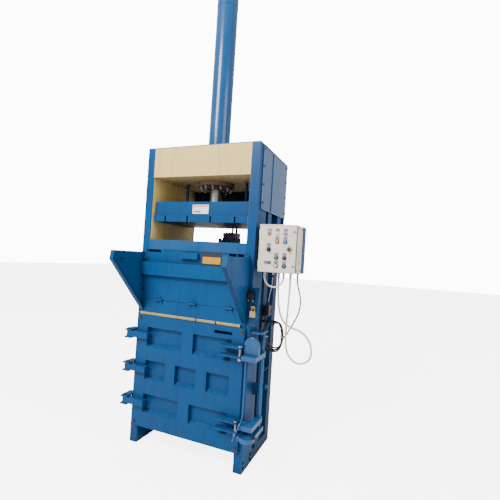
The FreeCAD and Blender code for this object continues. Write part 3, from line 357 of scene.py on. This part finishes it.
def pick(thing, wanted):
    """Opens the mesh for editing with only the wanted faces selected."""
    alone(thing)
    bpy.ops.object.mode_set(mode="EDIT")
    bpy.ops.mesh.select_mode(type="FACE")
    bpy.ops.mesh.select_all(action="DESELECT")
    bpy.ops.object.mode_set(mode="OBJECT")
    for face in thing.data.polygons:
        face.select = wanted(face)
    bpy.ops.object.mode_set(mode="EDIT")


def done():
    bpy.ops.object.mode_set(mode="OBJECT")


def rounded(thing, width, segments=2):
    """Breaks the sharp edges."""
    softened = thing.modifiers.new("rounded", "BEVEL")
    softened.width = width
    softened.segments = segments
    softened.limit_method = "ANGLE"
    return bake_in(thing)


def fit(thing, name, paint, body):
    """Names and paints a finished piece and hangs it on its body."""
    thing.name = name
    thing.data.name = name
    thing.data.materials.clear()
    thing.data.materials.append(FINISHES.get(paint) or FITTING_FINISHES[paint])
    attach(thing, body)
    return thing


def copies(master, name, paint, body, spots):
    """Copies of one modelled piece; each spot is a place, a facing and a turn about it."""
    made = []
    for number, (place, facing, turn) in enumerate(spots, 1):
        twin = bpy.data.objects.new(name, master.data.copy())
        bpy.context.collection.objects.link(twin)
        twin.data.transform(Matrix.Translation(place) @ Euler(FACING[facing]).to_matrix().to_4x4()
                            @ Matrix.Rotation(turn, 4, "Z"))
        made.append(fit(twin, f"{name}_{number}", paint, body))
    bpy.data.objects.remove(master)
    return made


def moved_copy(master, move, name, paint, body):
    """One copy of a modelled piece, moved to its place."""
    twin = bpy.data.objects.new(name, master.data.copy())
    bpy.context.collection.objects.link(twin)
    twin.data.transform(move)
    return fit(twin, name, paint, body)


def cylinder(radius, height, sides=32, base=0.0):
    """An upright cylinder standing at the given height."""
    bpy.ops.mesh.primitive_cylinder_add(vertices=sides, radius=radius, depth=height,
                                        location=(0, 0, base + height / 2))
    return alone(bpy.context.object)


def brick(low, high):
    """A block between two corners."""
    bpy.ops.mesh.primitive_cube_add(size=1, location=[(a + b) / 2 for a, b in zip(low, high)],
                                    scale=[b - a for a, b in zip(low, high)])
    return alone(bpy.context.object)


def merged(*things):
    """Several pieces joined into the first one."""
    drop_selection()
    for thing in things:
        thing.select_set(True)
    bpy.context.view_layer.objects.active = things[0]
    bpy.ops.object.join()
    return things[0]


def top_face(thing):
    highest = max(v.co.z for v in thing.data.vertices)
    return lambda face: face.normal.z > 0.9 and abs(face.center.z - highest) < 1e-5


# ---------------------------------------------------------------- masters
def hex_bolt(radius, height):
    """A bolt head with a chamfered top on a washer."""
    washer = rounded(cylinder(radius * 1.45, height * 0.25), height * 0.05)
    head = cylinder(radius, height * 0.75, 6, height * 0.25)
    pick(head, top_face(head))
    bpy.ops.mesh.inset(thickness=radius * 0.16, depth=height * 0.08)
    done()
    return merged(rounded(head, radius * 0.05), washer)


def framed_plate(width, height, rim, raise_by, thick):
    """A rectangular plate lying flat with a raised rim."""
    plate = brick((-width / 2, -height / 2, 0), (width / 2, height / 2, thick + raise_by))
    pick(plate, top_face(plate))
    bpy.ops.mesh.inset(thickness=rim)
    bpy.ops.transform.translate(value=(0, 0, -raise_by))
    done()
    return rounded(plate, min(rim, thick) * 0.3)


def bezel(radius, height):
    """A knurled ring nut with a recessed middle."""
    ring = cylinder(radius, height, 40)
    pick(ring, top_face(ring))
    bpy.ops.mesh.inset(thickness=radius * 0.12, depth=height * 0.1)
    bpy.ops.mesh.inset(thickness=radius * 0.16)
    bpy.ops.transform.translate(value=(0, 0, -height * 0.55))
    done()
    return rounded(ring, radius * 0.03)


def lens_dome(radius, height):
    bpy.ops.mesh.primitive_uv_sphere_add(segments=28, ring_count=16, radius=radius)
    dome = alone(bpy.context.object)
    pick(dome, lambda face: True)
    bpy.ops.mesh.bisect(plane_co=(0, 0, 0), plane_no=(0, 0, 1), clear_inner=True, use_fill=True)
    bpy.ops.mesh.select_all(action="SELECT")
    bpy.ops.transform.resize(value=(1, 1, height / radius), center_override=(0, 0, 0))
    done()
    return merged(bake_in(dome), rounded(cylinder(radius * 1.1, height * 0.3), radius * 0.04))


def turning_knob(radius, height):
    """A round base with a finger bar and a pointer groove."""
    base = cylinder(radius, height * 0.4)
    pick(base, top_face(base))
    bpy.ops.mesh.inset(thickness=radius * 0.2, depth=height * 0.05)
    done()
    bar = brick((-radius * 0.28, -radius * 1.15, height * 0.3), (radius * 0.28, radius * 1.15, height))
    pick(bar, top_face(bar))
    bpy.ops.mesh.inset(thickness=radius * 0.1)
    bpy.ops.transform.translate(value=(0, 0, -height * 0.06))
    done()
    return merged(rounded(base, radius * 0.05), rounded(bar, radius * 0.08, 3))


def gland_sleeve(hole, mouth, length):
    """A tapered strain relief with ribs, its wide end at the origin, pointing along its facing."""
    bpy.ops.mesh.primitive_cone_add(vertices=28, radius1=mouth, radius2=hole, depth=length,
                                    location=(0, 0, length / 2))
    sleeve = alone(bpy.context.object)
    ribs = []
    for step in range(5):
        along = (step + 0.6) / 5.6
        bpy.ops.mesh.primitive_torus_add(major_segments=28, minor_segments=8, minor_radius=length * 0.045,
                                         major_radius=mouth + (hole - mouth) * along,
                                         location=(0, 0, length * along))
        ribs.append(bake_in(bpy.context.object))
    return merged(rounded(sleeve, 0.0006), *ribs)


def weld_bead(start, end, width=0.0035):
    """A run of overlapping weld ripples between two places."""
    start, end = Vector(start), Vector(end)
    run = end - start
    bpy.ops.mesh.primitive_uv_sphere_add(segments=7, ring_count=5, radius=width)
    ripple = alone(bpy.context.object)
    pick(ripple, lambda face: True)
    bpy.ops.transform.resize(value=(1, 1, 0.75), center_override=(0, 0, 0))
    done()
    row = ripple.modifiers.new("row", "ARRAY")
    row.use_relative_offset = False
    row.use_constant_offset = True
    row.constant_offset_displace = (0, 0, width * 1.05)
    row.count = max(2, int(run.length / width / 1.05))
    bake_in(ripple)
    ripple.data.transform(Matrix.Translation(start) @ run.to_track_quat("Z", "Y").to_matrix().to_4x4())
    return ripple


# ---------------------------------------------------------------- hanging cables
LOOP = [(602, -225, 1554), (602, -225, 1523), (614, -226, 1494), (636, -227, 1472), (665, -227, 1460),
        (697, -227, 1460), (726, -227, 1472), (748, -226, 1494), (760, -225, 1523), (760, -225, 1554)]
SWAG = [(712, -195, 1554), (712, -195, 1470), (716, -190, 1380), (724, -182, 1290), (744, -168, 1212),
        (783, -152, 1162), (837, -139, 1139), (893, -129, 1124), (940, -120, 1089), (972, -114, 1042),
        (987, -110, 988), (987, -107, 931), (958, -105, 884), (909, -105, 860), (855, -107, 866),
        (812, -110, 900), (786, -114, 950), (776, -119, 1013), (776, -127, 1085), (781, -140, 1165),
        (789, -156, 1252), (798, -174, 1345), (806, -194, 1430), (812, -210, 1500), (812, -210, 1554)]
SENSOR = [(664, -200, 1554), (664, -200, 1510), (652, -176, 1466), (633, -133, 1430), (612, -84, 1400),
          (591, -36, 1370), (572, 6, 1338), (572, 6, 1296)]
MOTOR_FEED = [(858, -172, 1554), (858, -172, 1506), (874, -166, 1448), (889, -156, 1382), (887, -144, 1312),
              (866, -131, 1242), (832, -114, 1176), (795, -97, 1116), (767, -81, 1058)]
MOTOR_TAIL = [(568, -66, 1046), (564, -50, 1094), (565, -30, 1136), (565, -30, 1177)]
HANK_TURNS, POINTS_A_TURN = 4.5, 14
PEG = (660, -86, 1040)


def hank_turns():
    """Loose oval turns over the peg, each a little different, from the feed round to the tail."""
    points = []
    for step in range(int(HANK_TURNS * POINTS_A_TURN) + 1):
        turn = step / POINTS_A_TURN
        angle = -math.tau * step / POINTS_A_TURN
        lane = turn / HANK_TURNS
        loose = 1 + 0.07 * math.sin(turn * 2.4 + 0.6) - 0.05 * lane
        across = 76 * loose * math.cos(angle)
        low = 52 + 9 * math.sin(1.7 * turn)
        along = (64 if math.sin(angle) > 0 else low) * math.sin(angle)
        along += (62 if math.sin(angle) > 0 else -(58 + 12 * math.sin(2.1 * turn))) * min(
            1, abs(math.sin(angle)) * 1.6)
        points.append((PEG[0] + across + 5 * math.sin(3.1 * turn), PEG[1] + 30 * lane, PEG[2] + along))
    return points


def lay_cable(name, route, diameter, paint, nodes, pieces):
    """One smooth line through its own control points, as thick as the real cable."""
    line = bpy.data.curves.new(name, "CURVE")
    line.dimensions = "3D"
    line.resolution_u = 10
    line.bevel_depth = diameter / 2
    line.bevel_resolution = 4
    line.use_fill_caps = True
    spline = line.splines.new("NURBS")
    spline.points.add(len(route) - 1)
    for point, place in zip(spline.points, route):
        point.co = (*(v / 1000 for v in place), 1)
    spline.order_u = 3
    spline.use_endpoint_u = True
    cable = bpy.data.objects.new(name, line)
    bpy.context.collection.objects.link(cable)
    line.materials.append(FINISHES[paint])
    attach(cable, "frame")
    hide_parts(*nodes)


def sleeves(name, spots, hole, mouth, length, paint):
    """A strain relief at each end of a cable."""
    return copies(gland_sleeve(hole, mouth, length), name, paint, "frame",
                  [([v / 1000 for v in place], facing, 0) for place, facing in spots])


def hang_cables():
    lay_cable("loop_conduit_line", LOOP, 0.014, "conduit_plastic", ["loop_conduit"],
              sleeves("loop_sleeve", [(LOOP[0], "-z"), (LOOP[-1], "-z")], 0.0074, 0.0098, 0.022, "cable_grey"))
    lay_cable("swag_conduit_line", SWAG, 0.016, "conduit_plastic", ["swag_conduit"],
              sleeves("swag_sleeve", [(SWAG[0], "-z"), (SWAG[-1], "-z")], 0.0084, 0.0108, 0.026, "cable_grey"))
    lay_cable("sensor_line", SENSOR, 0.007, "cable_grey", ["sensor_cable"],
              sleeves("sensor_sleeve", [(SENSOR[0], "-z"), (SENSOR[-1], "+z")], 0.0038, 0.0062, 0.02,
                      "cable_black"))
    route = MOTOR_FEED + hank_turns() + MOTOR_TAIL
    lay_cable("motor_line", route, 0.012, "cable_black",
              ["motor_cable", "motor_cable_hank", "motor_cable_tail"],
              sleeves("motor_sleeve", [(MOTOR_FEED[0], "-z"), (MOTOR_TAIL[-1], "-z")], 0.0063, 0.0088, 0.024,
                      "cable_black"))


hang_cables()


# ---------------------------------------------------------------- control box fittings
COLUMNS, ROWS = (0.662, 0.726, 0.790), (1.874, 1.813, 1.752, 1.691, 1.630)
BOX_FACE, BOX_SIDE, BOX_BACK = -0.335, 0.876, -0.062
BLACK_SELECTOR, YELLOW_SELECTOR = (COLUMNS[0], BOX_FACE, ROWS[2]), (0.8252, BOX_FACE, 1.7581)
KNOB_SEAT = -0.0155
BUTTONS = {"orange": (COLUMNS[1], ROWS[1]), "blue": (COLUMNS[2], ROWS[1]), "green": (COLUMNS[1], ROWS[3]),
           "black": (COLUMNS[2], ROWS[3]), "cream": (COLUMNS[1], ROWS[4]), "navy": (COLUMNS[2], ROWS[4])}


def ring_collar(hole, outer, height):
    """A threaded collar round a button: an open ring with a rolled edge."""
    ring = cylinder(outer, height, 40)
    pick(ring, lambda face: abs(face.normal.z) > 0.9)
    bpy.ops.mesh.inset(thickness=outer - hole, use_individual=True)
    bpy.ops.mesh.bridge_edge_loops()
    done()
    return rounded(ring, height * 0.18)


def box_fittings():
    """Door lip, collars, lamps, knobs, plates, catches, bolts, louvres and cable glands."""
    lip = brick((0.5835, BOX_FACE - 0.0022, 1.5795), (0.8725, BOX_FACE, 1.9425))
    pick(lip, lambda face: abs(face.normal.y) > 0.9)
    bpy.ops.mesh.inset(thickness=0.009, use_individual=True)
    bpy.ops.mesh.bridge_edge_loops()
    done()
    fit(rounded(lip, 0.0008), "box_door_lip", "box_paint", "box_door")
    legends = [((x, BOX_FACE, z + 0.0275), "-y", 0) for x, z in
               [*BUTTONS.values()] + [(x, ROWS[0]) for x in COLUMNS]]
    copies(framed_plate(0.031, 0.0215, 0.002, 0.0006, 0.0012), "legend_plate", "legend_grey",
           "box_door", legends)
    copies(ring_collar(0.0135, 0.0175, 0.0045), "button_collar", "dark_steel", "box_door",
           [((x, BOX_FACE, z), "-y", 0) for x, z in BUTTONS.values()])
    for name, (x, z) in BUTTONS.items():
        copies(lens_dome(0.0105, 0.0022), f"button_crown_{name}", f"button_{name}", f"button_{name}_body",
               [((x, BOX_FACE - 0.0079, z), "-y", 0)])
    for x, name, paint in zip(COLUMNS, ("red", "amber", "violet"), ("red_lens", "amber_lens", "violet_lens")):
        copies(lens_dome(0.0145, 0.0095), f"lamp_{name}", paint, "box_door",
               [((x, BOX_FACE - 0.003, ROWS[0]), "-y", 0)])
    copies(bezel(0.0185, 0.004), "selector_plate", "dark_steel", "box_door",
           [(BLACK_SELECTOR, "-y", 0)])
    copies(turning_knob(0.0125, 0.013), "selector_knob_black", "button_black", "selector_black_body",
           [((BLACK_SELECTOR[0], BOX_FACE + KNOB_SEAT, BLACK_SELECTOR[2]), "-y", 0.3)])
    copies(turning_knob(0.0125, 0.013), "selector_knob_yellow", "button_black", "selector_yellow_body",
           [((YELLOW_SELECTOR[0], BOX_FACE + KNOB_SEAT, YELLOW_SELECTOR[2]), "-y", -0.2)])
    copies(framed_plate(0.038, 0.038, 0.003, 0.0006, 0.0014), "selector_diamond", "label_yellow",
           "box_door", [(YELLOW_SELECTOR, "-y", math.pi / 4)])
    copies(framed_plate(0.056, 0.027, 0.002, 0.0008, 0.0016), "box_name_plate", "valve_metal",
           "box_door", [((0.658, BOX_FACE, 1.6505), "-y", 0)])
    copies(framed_plate(0.034, 0.026, 0.002, 0.0006, 0.0012), "selector_legend", "legend_grey",
           "box_door", [((0.662, BOX_FACE, 1.786), "-y", 0)])
    copies(bezel(0.0088, 0.0035), "box_catch", "bright_steel", "box_door",
           [((0.860, BOX_FACE - 0.0005, z), "-y", 0) for z in (1.63, 1.89)])
    copies(hex_bolt(0.005, 0.005), "box_bolt", "bright_steel", "frame",
           [((BOX_SIDE, y, z), "+x", 0.3) for y in (-0.28, -0.18) for z in (1.60, 1.92)]
           + [((x, BOX_BACK, z), "+y", 0.2) for x in (0.63, 0.84) for z in (1.60, 1.92)])
    # Painted shade: a black strip along the door's right edge stands for the shadow gap at the door's edge.
    trim("box_door_edge_seal", (0.8755, BOX_FACE + 0.0008, 1.5795), (0.8772, -0.3156, 1.9425), "label_black",
         "box_door")
    louvre = brick((-0.04, -0.006, 0), (0.04, 0.006, 0.006))
    pick(louvre, top_face(louvre))
    bpy.ops.transform.resize(value=(0.94, 0.35, 1), center_override=(0, -0.004, 0.006))
    done()
    copies(rounded(louvre, 0.0012), "box_louvre", "box_paint", "frame",
           [((BOX_SIDE, -0.23, 1.66 + 0.022 * step), "+x", math.pi / 2) for step in range(5)])
    for place, wide in (((0.602, -0.225), 9.6), ((0.76, -0.225), 9.6), ((0.712, -0.195), 10.6),
                        ((0.812, -0.21), 10.6), ((0.858, -0.172), 8.4), ((0.664, -0.2), 6.2)):
        copies(ring_collar(wide / 1000 + 0.0015, wide / 1000 + 0.0055, 0.006),
               f"gland_nut_{int(place[0] * 1000)}", "cable_grey", "frame",
               [((*place, 1.578), "-z", 0)])


# ---------------------------------------------------------------- gate, door and lock fittings
GATE_FACE, DOOR_FACE = -0.327, -0.345


def colour_field(name, low, high, paint, body, rim=0.002):
    """A plain field of colour on a thin plate with a raised border, facing the front."""
    width, height = high[0] - low[0], high[1] - low[1]
    return copies(framed_plate(width, height, rim, 0.0005, 0.0012), name, paint, body,
                  [(((low[0] + high[0]) / 2, low[2], (low[1] + high[1]) / 2), "-y", 0)])


def gate_fittings():
    """Label, weld beads and bolts of the feed gate and its cheeks."""
    colour_field("gate_label_back", (0.081, 1.600, GATE_FACE), (0.263, 1.698), "label_black", "feed_gate")
    colour_field("gate_label_field", (0.090, 1.608, GATE_FACE - 0.0012), (0.254, 1.664), "label_yellow",
                 "feed_gate")
    for side, x in (("left", -0.4975), ("right", 0.4975)):
        fit(weld_bead((x, GATE_FACE, 1.282), (x, GATE_FACE, 1.478), 0.0022), f"gate_bead_{side}",
            "gate_paint", "feed_gate")
    for name, z in (("upper", 1.5935), ("lower", 1.4785)):
        fit(weld_bead((-0.496, GATE_FACE, z), (0.496, GATE_FACE, z), 0.0026), f"stiffener_bead_{name}",
            "gate_paint", "feed_gate")
    copies(hex_bolt(0.0065, 0.006), "gate_bolt", "dark_steel", "feed_gate",
           [((x, GATE_FACE, 1.62), "-y", 0.2) for x in (-0.46, 0.46)])
    copies(hex_bolt(0.008, 0.008), "cheek_bolt", "dark_steel", "frame",
           [((side * 0.471, y, z), "-x" if side > 0 else "+x", 0.1) for side in (-1, 1)
            for y, z in ((-0.36, 1.62), (-0.36, 1.36), (-0.62, 1.62))])


def door_fittings():
    """Weld beads on the hinge straps, and the bolts and nuts of the door and the lock."""
    heights = [z + edge for z in (0.378, 0.667, 0.955) for edge in (-0.0265, 0.0265)]
    for number, z in enumerate(heights, 1):
        fit(weld_bead((-0.555, DOOR_FACE, z), (-0.36, DOOR_FACE, z), 0.003), f"strap_bead_{number}",
            "blue_paint", "chamber_door")
    copies(hex_bolt(0.011, 0.01), "strap_bolt", "dark_steel", "chamber_door",
           [((x, DOOR_FACE, z), "-y", 0.25) for x in (-0.485, 0.485) for z in (0.195, 1.095)])
    copies(hex_bolt(0.010, 0.009), "pin_nut", "dark_steel", "frame",
           [((0.612, -0.19, z), facing, 0.2) for z, facing in ((1.1, "+z"), (0.30, "-z"))])
    copies(hex_bolt(0.012, 0.012), "rest_nut", "dark_steel", "frame",
           [((0.655, -0.40, 0.345), "+z", 0.2)])


def chamber_fittings():
    """Ribs of the rear wall, foot bolts and the rivets of the side covers."""
    rib = brick((-0.45, 0.315, -0.02), (0.45, 0.345, 0.02))
    pick(rib, lambda face: face.normal.y > 0.9)
    bpy.ops.transform.resize(value=(0.985, 1, 0.6), center_override=(0, 0.345, 0))
    done()
    rounded(rib, 0.002)
    for number, z in enumerate((0.35, 0.68, 1.01), 1):
        moved_copy(rib, Matrix.Translation((0, 0, z)), f"rear_wall_rib_{number}", "blue_paint", "frame")
    bpy.data.objects.remove(rib)
    copies(hex_bolt(0.011, 0.01), "foot_bolt", "dark_steel", "frame",
           [((side * 0.540, y, z), "+x" if side > 0 else "-x", 0.2) for side in (-1, 1)
            for y in (-0.285, -0.135) for z in (0.035, 0.075)])
    copies(hex_bolt(0.007, 0.006), "cover_rivet", "dark_steel", "frame",
           [((side * 0.549, y, z), "+x" if side > 0 else "-x", 0.2) for side in (-1, 1)
            for y in (-0.225, 0.405) for z in (2.13, 2.28, 2.43, 2.57)])


def trim(name, low, high, paint="trim_paint", body="frame"):
    """A thin rolled edge strip, tapered towards its outer face."""
    strip = brick(low, high)
    middle = (Vector(low) + Vector(high)) / 2
    outward = 1 if middle.x > 0 else -1
    pick(strip, lambda face: face.normal.x * outward > 0.9)
    bpy.ops.mesh.inset(thickness=0.0008)
    done()
    fit(rounded(strip, 0.0008), name, paint, body)


def cover_trims():
    """Pale strips painted as highlights round the edges of each side cover, and one proud of it down its
    middle.
    """
    for side, inner, outer, proud in (("right", 0.549, 0.5515, 0.004), ("left", -0.5515, -0.549, -0.004)):
        trim(f"cover_trim_front_{side}", (inner, -0.250, 2.076), (outer, -0.2455, 2.600))
        trim(f"cover_trim_foot_{side}", (inner, -0.250, 2.076), (outer, 0.430, 2.0805))
        trim(f"cover_trim_top_{side}", (inner, -0.250, 2.5955), (outer, 0.430, 2.600))
        trim(f"cover_trim_middle_{side}", (inner + proud, -0.002, 2.082), (outer + proud, 0.002, 2.594))


# ---------------------------------------------------------------- press, cylinder and power pack
def welded_ring(name, place, radius, width, paint, body):
    """A lumpy weld bead round a tube or rod."""
    bpy.ops.mesh.primitive_torus_add(major_segments=96, minor_segments=10, major_radius=radius,
                                     minor_radius=width, location=place)
    ring = alone(bpy.context.object)
    swell = bpy.data.textures.new(name, "CLOUDS")
    swell.noise_scale = 0.012
    lumps = ring.modifiers.new("lumps", "DISPLACE")
    lumps.texture = swell
    lumps.texture_coords = "LOCAL"
    lumps.strength = width * 0.6
    return fit(bake_in(ring), name, paint, body)


def press_fittings():
    """Plain label on the platen, weld rings of the cylinder and rod, and the stop nuts."""
    platen_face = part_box("platen")[0].y + 0.012
    colour_field("platen_label_field", (-0.070, 2.027, platen_face), (0.085, 2.104), "label_white", "ram")
    colour_field("platen_label_bar", (-0.064, 2.086, platen_face - 0.0012), (0.079, 2.098), "label_orange",
                 "ram", 0.001)
    colour_field("platen_label_patch", (-0.058, 2.040, platen_face - 0.0012), (0.010, 2.052), "legend_grey",
                 "ram", 0.001)
    welded_ring("cylinder_root_bead", (0, 0, 2.6095), 0.0985, 0.0045, "light_blue_paint", "frame")
    welded_ring("cylinder_cap_bead", (0, 0, 4.062), 0.0978, 0.0022, "light_blue_paint", "frame")
    welded_ring("rod_root_bead", (0, 0, 2.1335), 0.072, 0.0045, "blue_paint", "ram")
    copies(hex_bolt(0.012, 0.011), "stop_nut", "dark_steel", "frame",
           [((side * 0.305, 0, 2.332), "-z", 0.3) for side in (-1, 1)])


MOTOR_FINS = 28


def power_pack_fittings():
    """Fins, fan grille and terminal lid of the motor, and the fittings of the tank and the valves."""
    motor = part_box("pump_motor")
    middle = Vector((-0.019, 0.435, 0))
    fin = brick((0.086, -0.0015, 1.76), (0.0955, 0.0015, 1.872))
    pick(fin, lambda face: face.normal.x > 0.9)
    bpy.ops.transform.resize(value=(1, 0.5, 0.97), center_override=(0.0955, 0, 1.816))
    done()
    rounded(fin, 0.0006, 1)
    for number in range(MOTOR_FINS):
        angle = math.tau * number / MOTOR_FINS
        if abs(angle - math.pi) < 0.6:  # the terminal box takes the fins' place on this side
            continue
        moved_copy(fin, Matrix.Translation(middle) @ Matrix.Rotation(angle, 4, "Z"),
                   f"motor_fin_{number + 1}", "motor_paint", "frame")
    bpy.data.objects.remove(fin)
    grille = cylinder(0.07, 0.004, 40)
    for _ in range(3):
        pick(grille, top_face(grille))
        bpy.ops.mesh.inset(thickness=0.009)
        bpy.ops.transform.translate(value=(0, 0, -0.0012))
        bpy.ops.mesh.inset(thickness=0.007)
        bpy.ops.transform.translate(value=(0, 0, 0.0012))
        done()
    copies(rounded(grille, 0.0004), "fan_grille", "dark_steel", "frame",
           [((middle.x, middle.y, motor[1].z), "+z", 0)])
    copies(framed_plate(0.088, 0.068, 0.006, 0.002, 0.004), "terminal_lid", "motor_paint", "frame",
           [((motor[0].x, middle.y, 1.82), "-x", 0)])
    copies(hex_bolt(0.0045, 0.004), "terminal_screw", "bright_steel", "frame",
           [((motor[0].x - 0.004, middle.y + y, 1.82 + z), "-x", 0.3) for y in (-0.029, 0.029)
            for z in (-0.039, 0.039)])
    copies(hex_bolt(0.009, 0.008), "tank_lid_bolt", "bright_steel", "frame",
           [((x, y, 1.72), "+z", 0.2) for x in (-0.215, 0.178) for y in (0.335, 0.60)])
    copies(hex_bolt(0.013, 0.010), "drain_plug", "brass", "frame", [((0.1, 0.605, 1.36), "+y", 0.2)])
    copies(framed_plate(0.026, 0.11, 0.004, 0.003, 0.004), "sight_gauge", "bright_steel", "frame",
           [((-0.12, 0.605, 1.52), "+y", 0)])
    copies(lens_dome(0.007, 0.004), "sight_float", "amber_lens", "frame", [((-0.12, 0.609, 1.53), "+y", 0)])
    copies(hex_bolt(0.019, 0.022), "pipe_union", "bright_steel", "frame",
           [((x, 0.573, 1.81), "+z", 0.3) for x in (-0.075, -0.029)])
    copies(bezel(0.016, 0.006), "coil_cap", "dark_steel", "frame",
           [((-0.172, 0.573, 1.782), "-x", 0), ((0.068, 0.573, 1.782), "+x", 0)])
    copies(framed_plate(0.026, 0.03, 0.003, 0.0015, 0.014), "coil_plug", "cable_black", "frame",
           [((-0.141, 0.573, 1.798), "+z", 0), ((0.037, 0.573, 1.798), "+z", 0)])


# ---------------------------------------------------------------- cable ties and side fittings
def side_fittings():
    """Ties round the hank, and the lids, screws and bolts of the junction and the interlock."""
    copies(ring_collar(0.022, 0.0245, 0.006), "hank_tie", "tie_nylon", "frame",
           [((0.735, -0.07, 1.045), "+z", 0), ((0.585, -0.07, 1.03), "+z", 0)])
    copies(framed_plate(0.07, 0.074, 0.004, 0.002, 0.003), "junction_lid", "dark_steel", "frame",
           [((0.590, -0.004, 1.2375), "+x", 0)])
    copies(hex_bolt(0.0042, 0.004), "junction_screw", "bright_steel", "frame",
           [((0.593, -0.004 + y, 1.2375 + z), "+x", 0.3) for y in (-0.03, 0.03) for z in (-0.028, 0.028)])
    copies(hex_bolt(0.005, 0.005), "switch_screw", "bright_steel", "frame",
           [((x, -0.349, z), "-y", 0.3) for x, z in ((0.522, 1.350), (0.562, 1.350))])
    copies(hex_bolt(0.007, 0.006), "plate_bolt", "dark_steel", "frame",
           [((x, -0.325, z), "-y", 0.3) for x, z in ((0.525, 1.436), (0.597, 1.436), (0.545, 1.17),
                                                     (0.572, 1.17))])


box_fittings()
cover_trims()
gate_fittings()
door_fittings()
chamber_fittings()
press_fittings()
power_pack_fittings()
side_fittings()


# ---------------------------------------------------------------- stage
def set_stage():
    """A pale floor and soft light, strongest from the upper left in front."""
    bpy.ops.mesh.primitive_plane_add(size=60, location=(0, 0, 0))
    floor = alone(bpy.context.object)
    floor.name = "floor"
    paper = bpy.data.materials.new("paper")
    paper.use_nodes = True
    tree = paper.node_tree
    surface = tree.nodes["Principled BSDF"].inputs
    surface["Base Color"].default_value = (0.95, 0.95, 0.95, 1)
    surface["Roughness"].default_value = 0.9
    surface["Emission Color"].default_value = (1, 1, 1, 1)
    lift = add(tree, "Math", {0: add(tree, "LightPath").outputs["Is Camera Ray"], 1: 5.0},
               operation="MULTIPLY")
    tree.links.new(lift.outputs[0], surface["Emission Strength"])
    floor.data.materials.append(paper)
    world = bpy.data.worlds.new("studio")
    world.use_nodes = True
    tree = world.node_tree
    sky = tree.nodes["Background"].inputs
    sky["Color"].default_value = (1, 1, 1, 1)
    seen = add(tree, "LightPath").outputs["Is Camera Ray"]
    tree.links.new(ramp(tree, seen, 0.0, 1.0, 1.0, 12.0), sky["Strength"])
    bpy.context.scene.world = world
    for name, place, target, size, power in (
            ("key", (-1.6, -5.2, 5.6), (0, 0, 1.4), 2.0, 700),
            ("side", (5.2, -1.6, 4.4), (0, 0, 1.6), 2.6, 150)):
        light = bpy.data.lights.new(name, "AREA")
        light.size = size
        light.energy = power
        lamp = bpy.data.objects.new(name, light)
        lamp.location = place
        lamp.rotation_euler = (Vector(target) - Vector(place)).to_track_quat("-Z", "Y").to_euler()
        bpy.context.collection.objects.link(lamp)


set_stage()
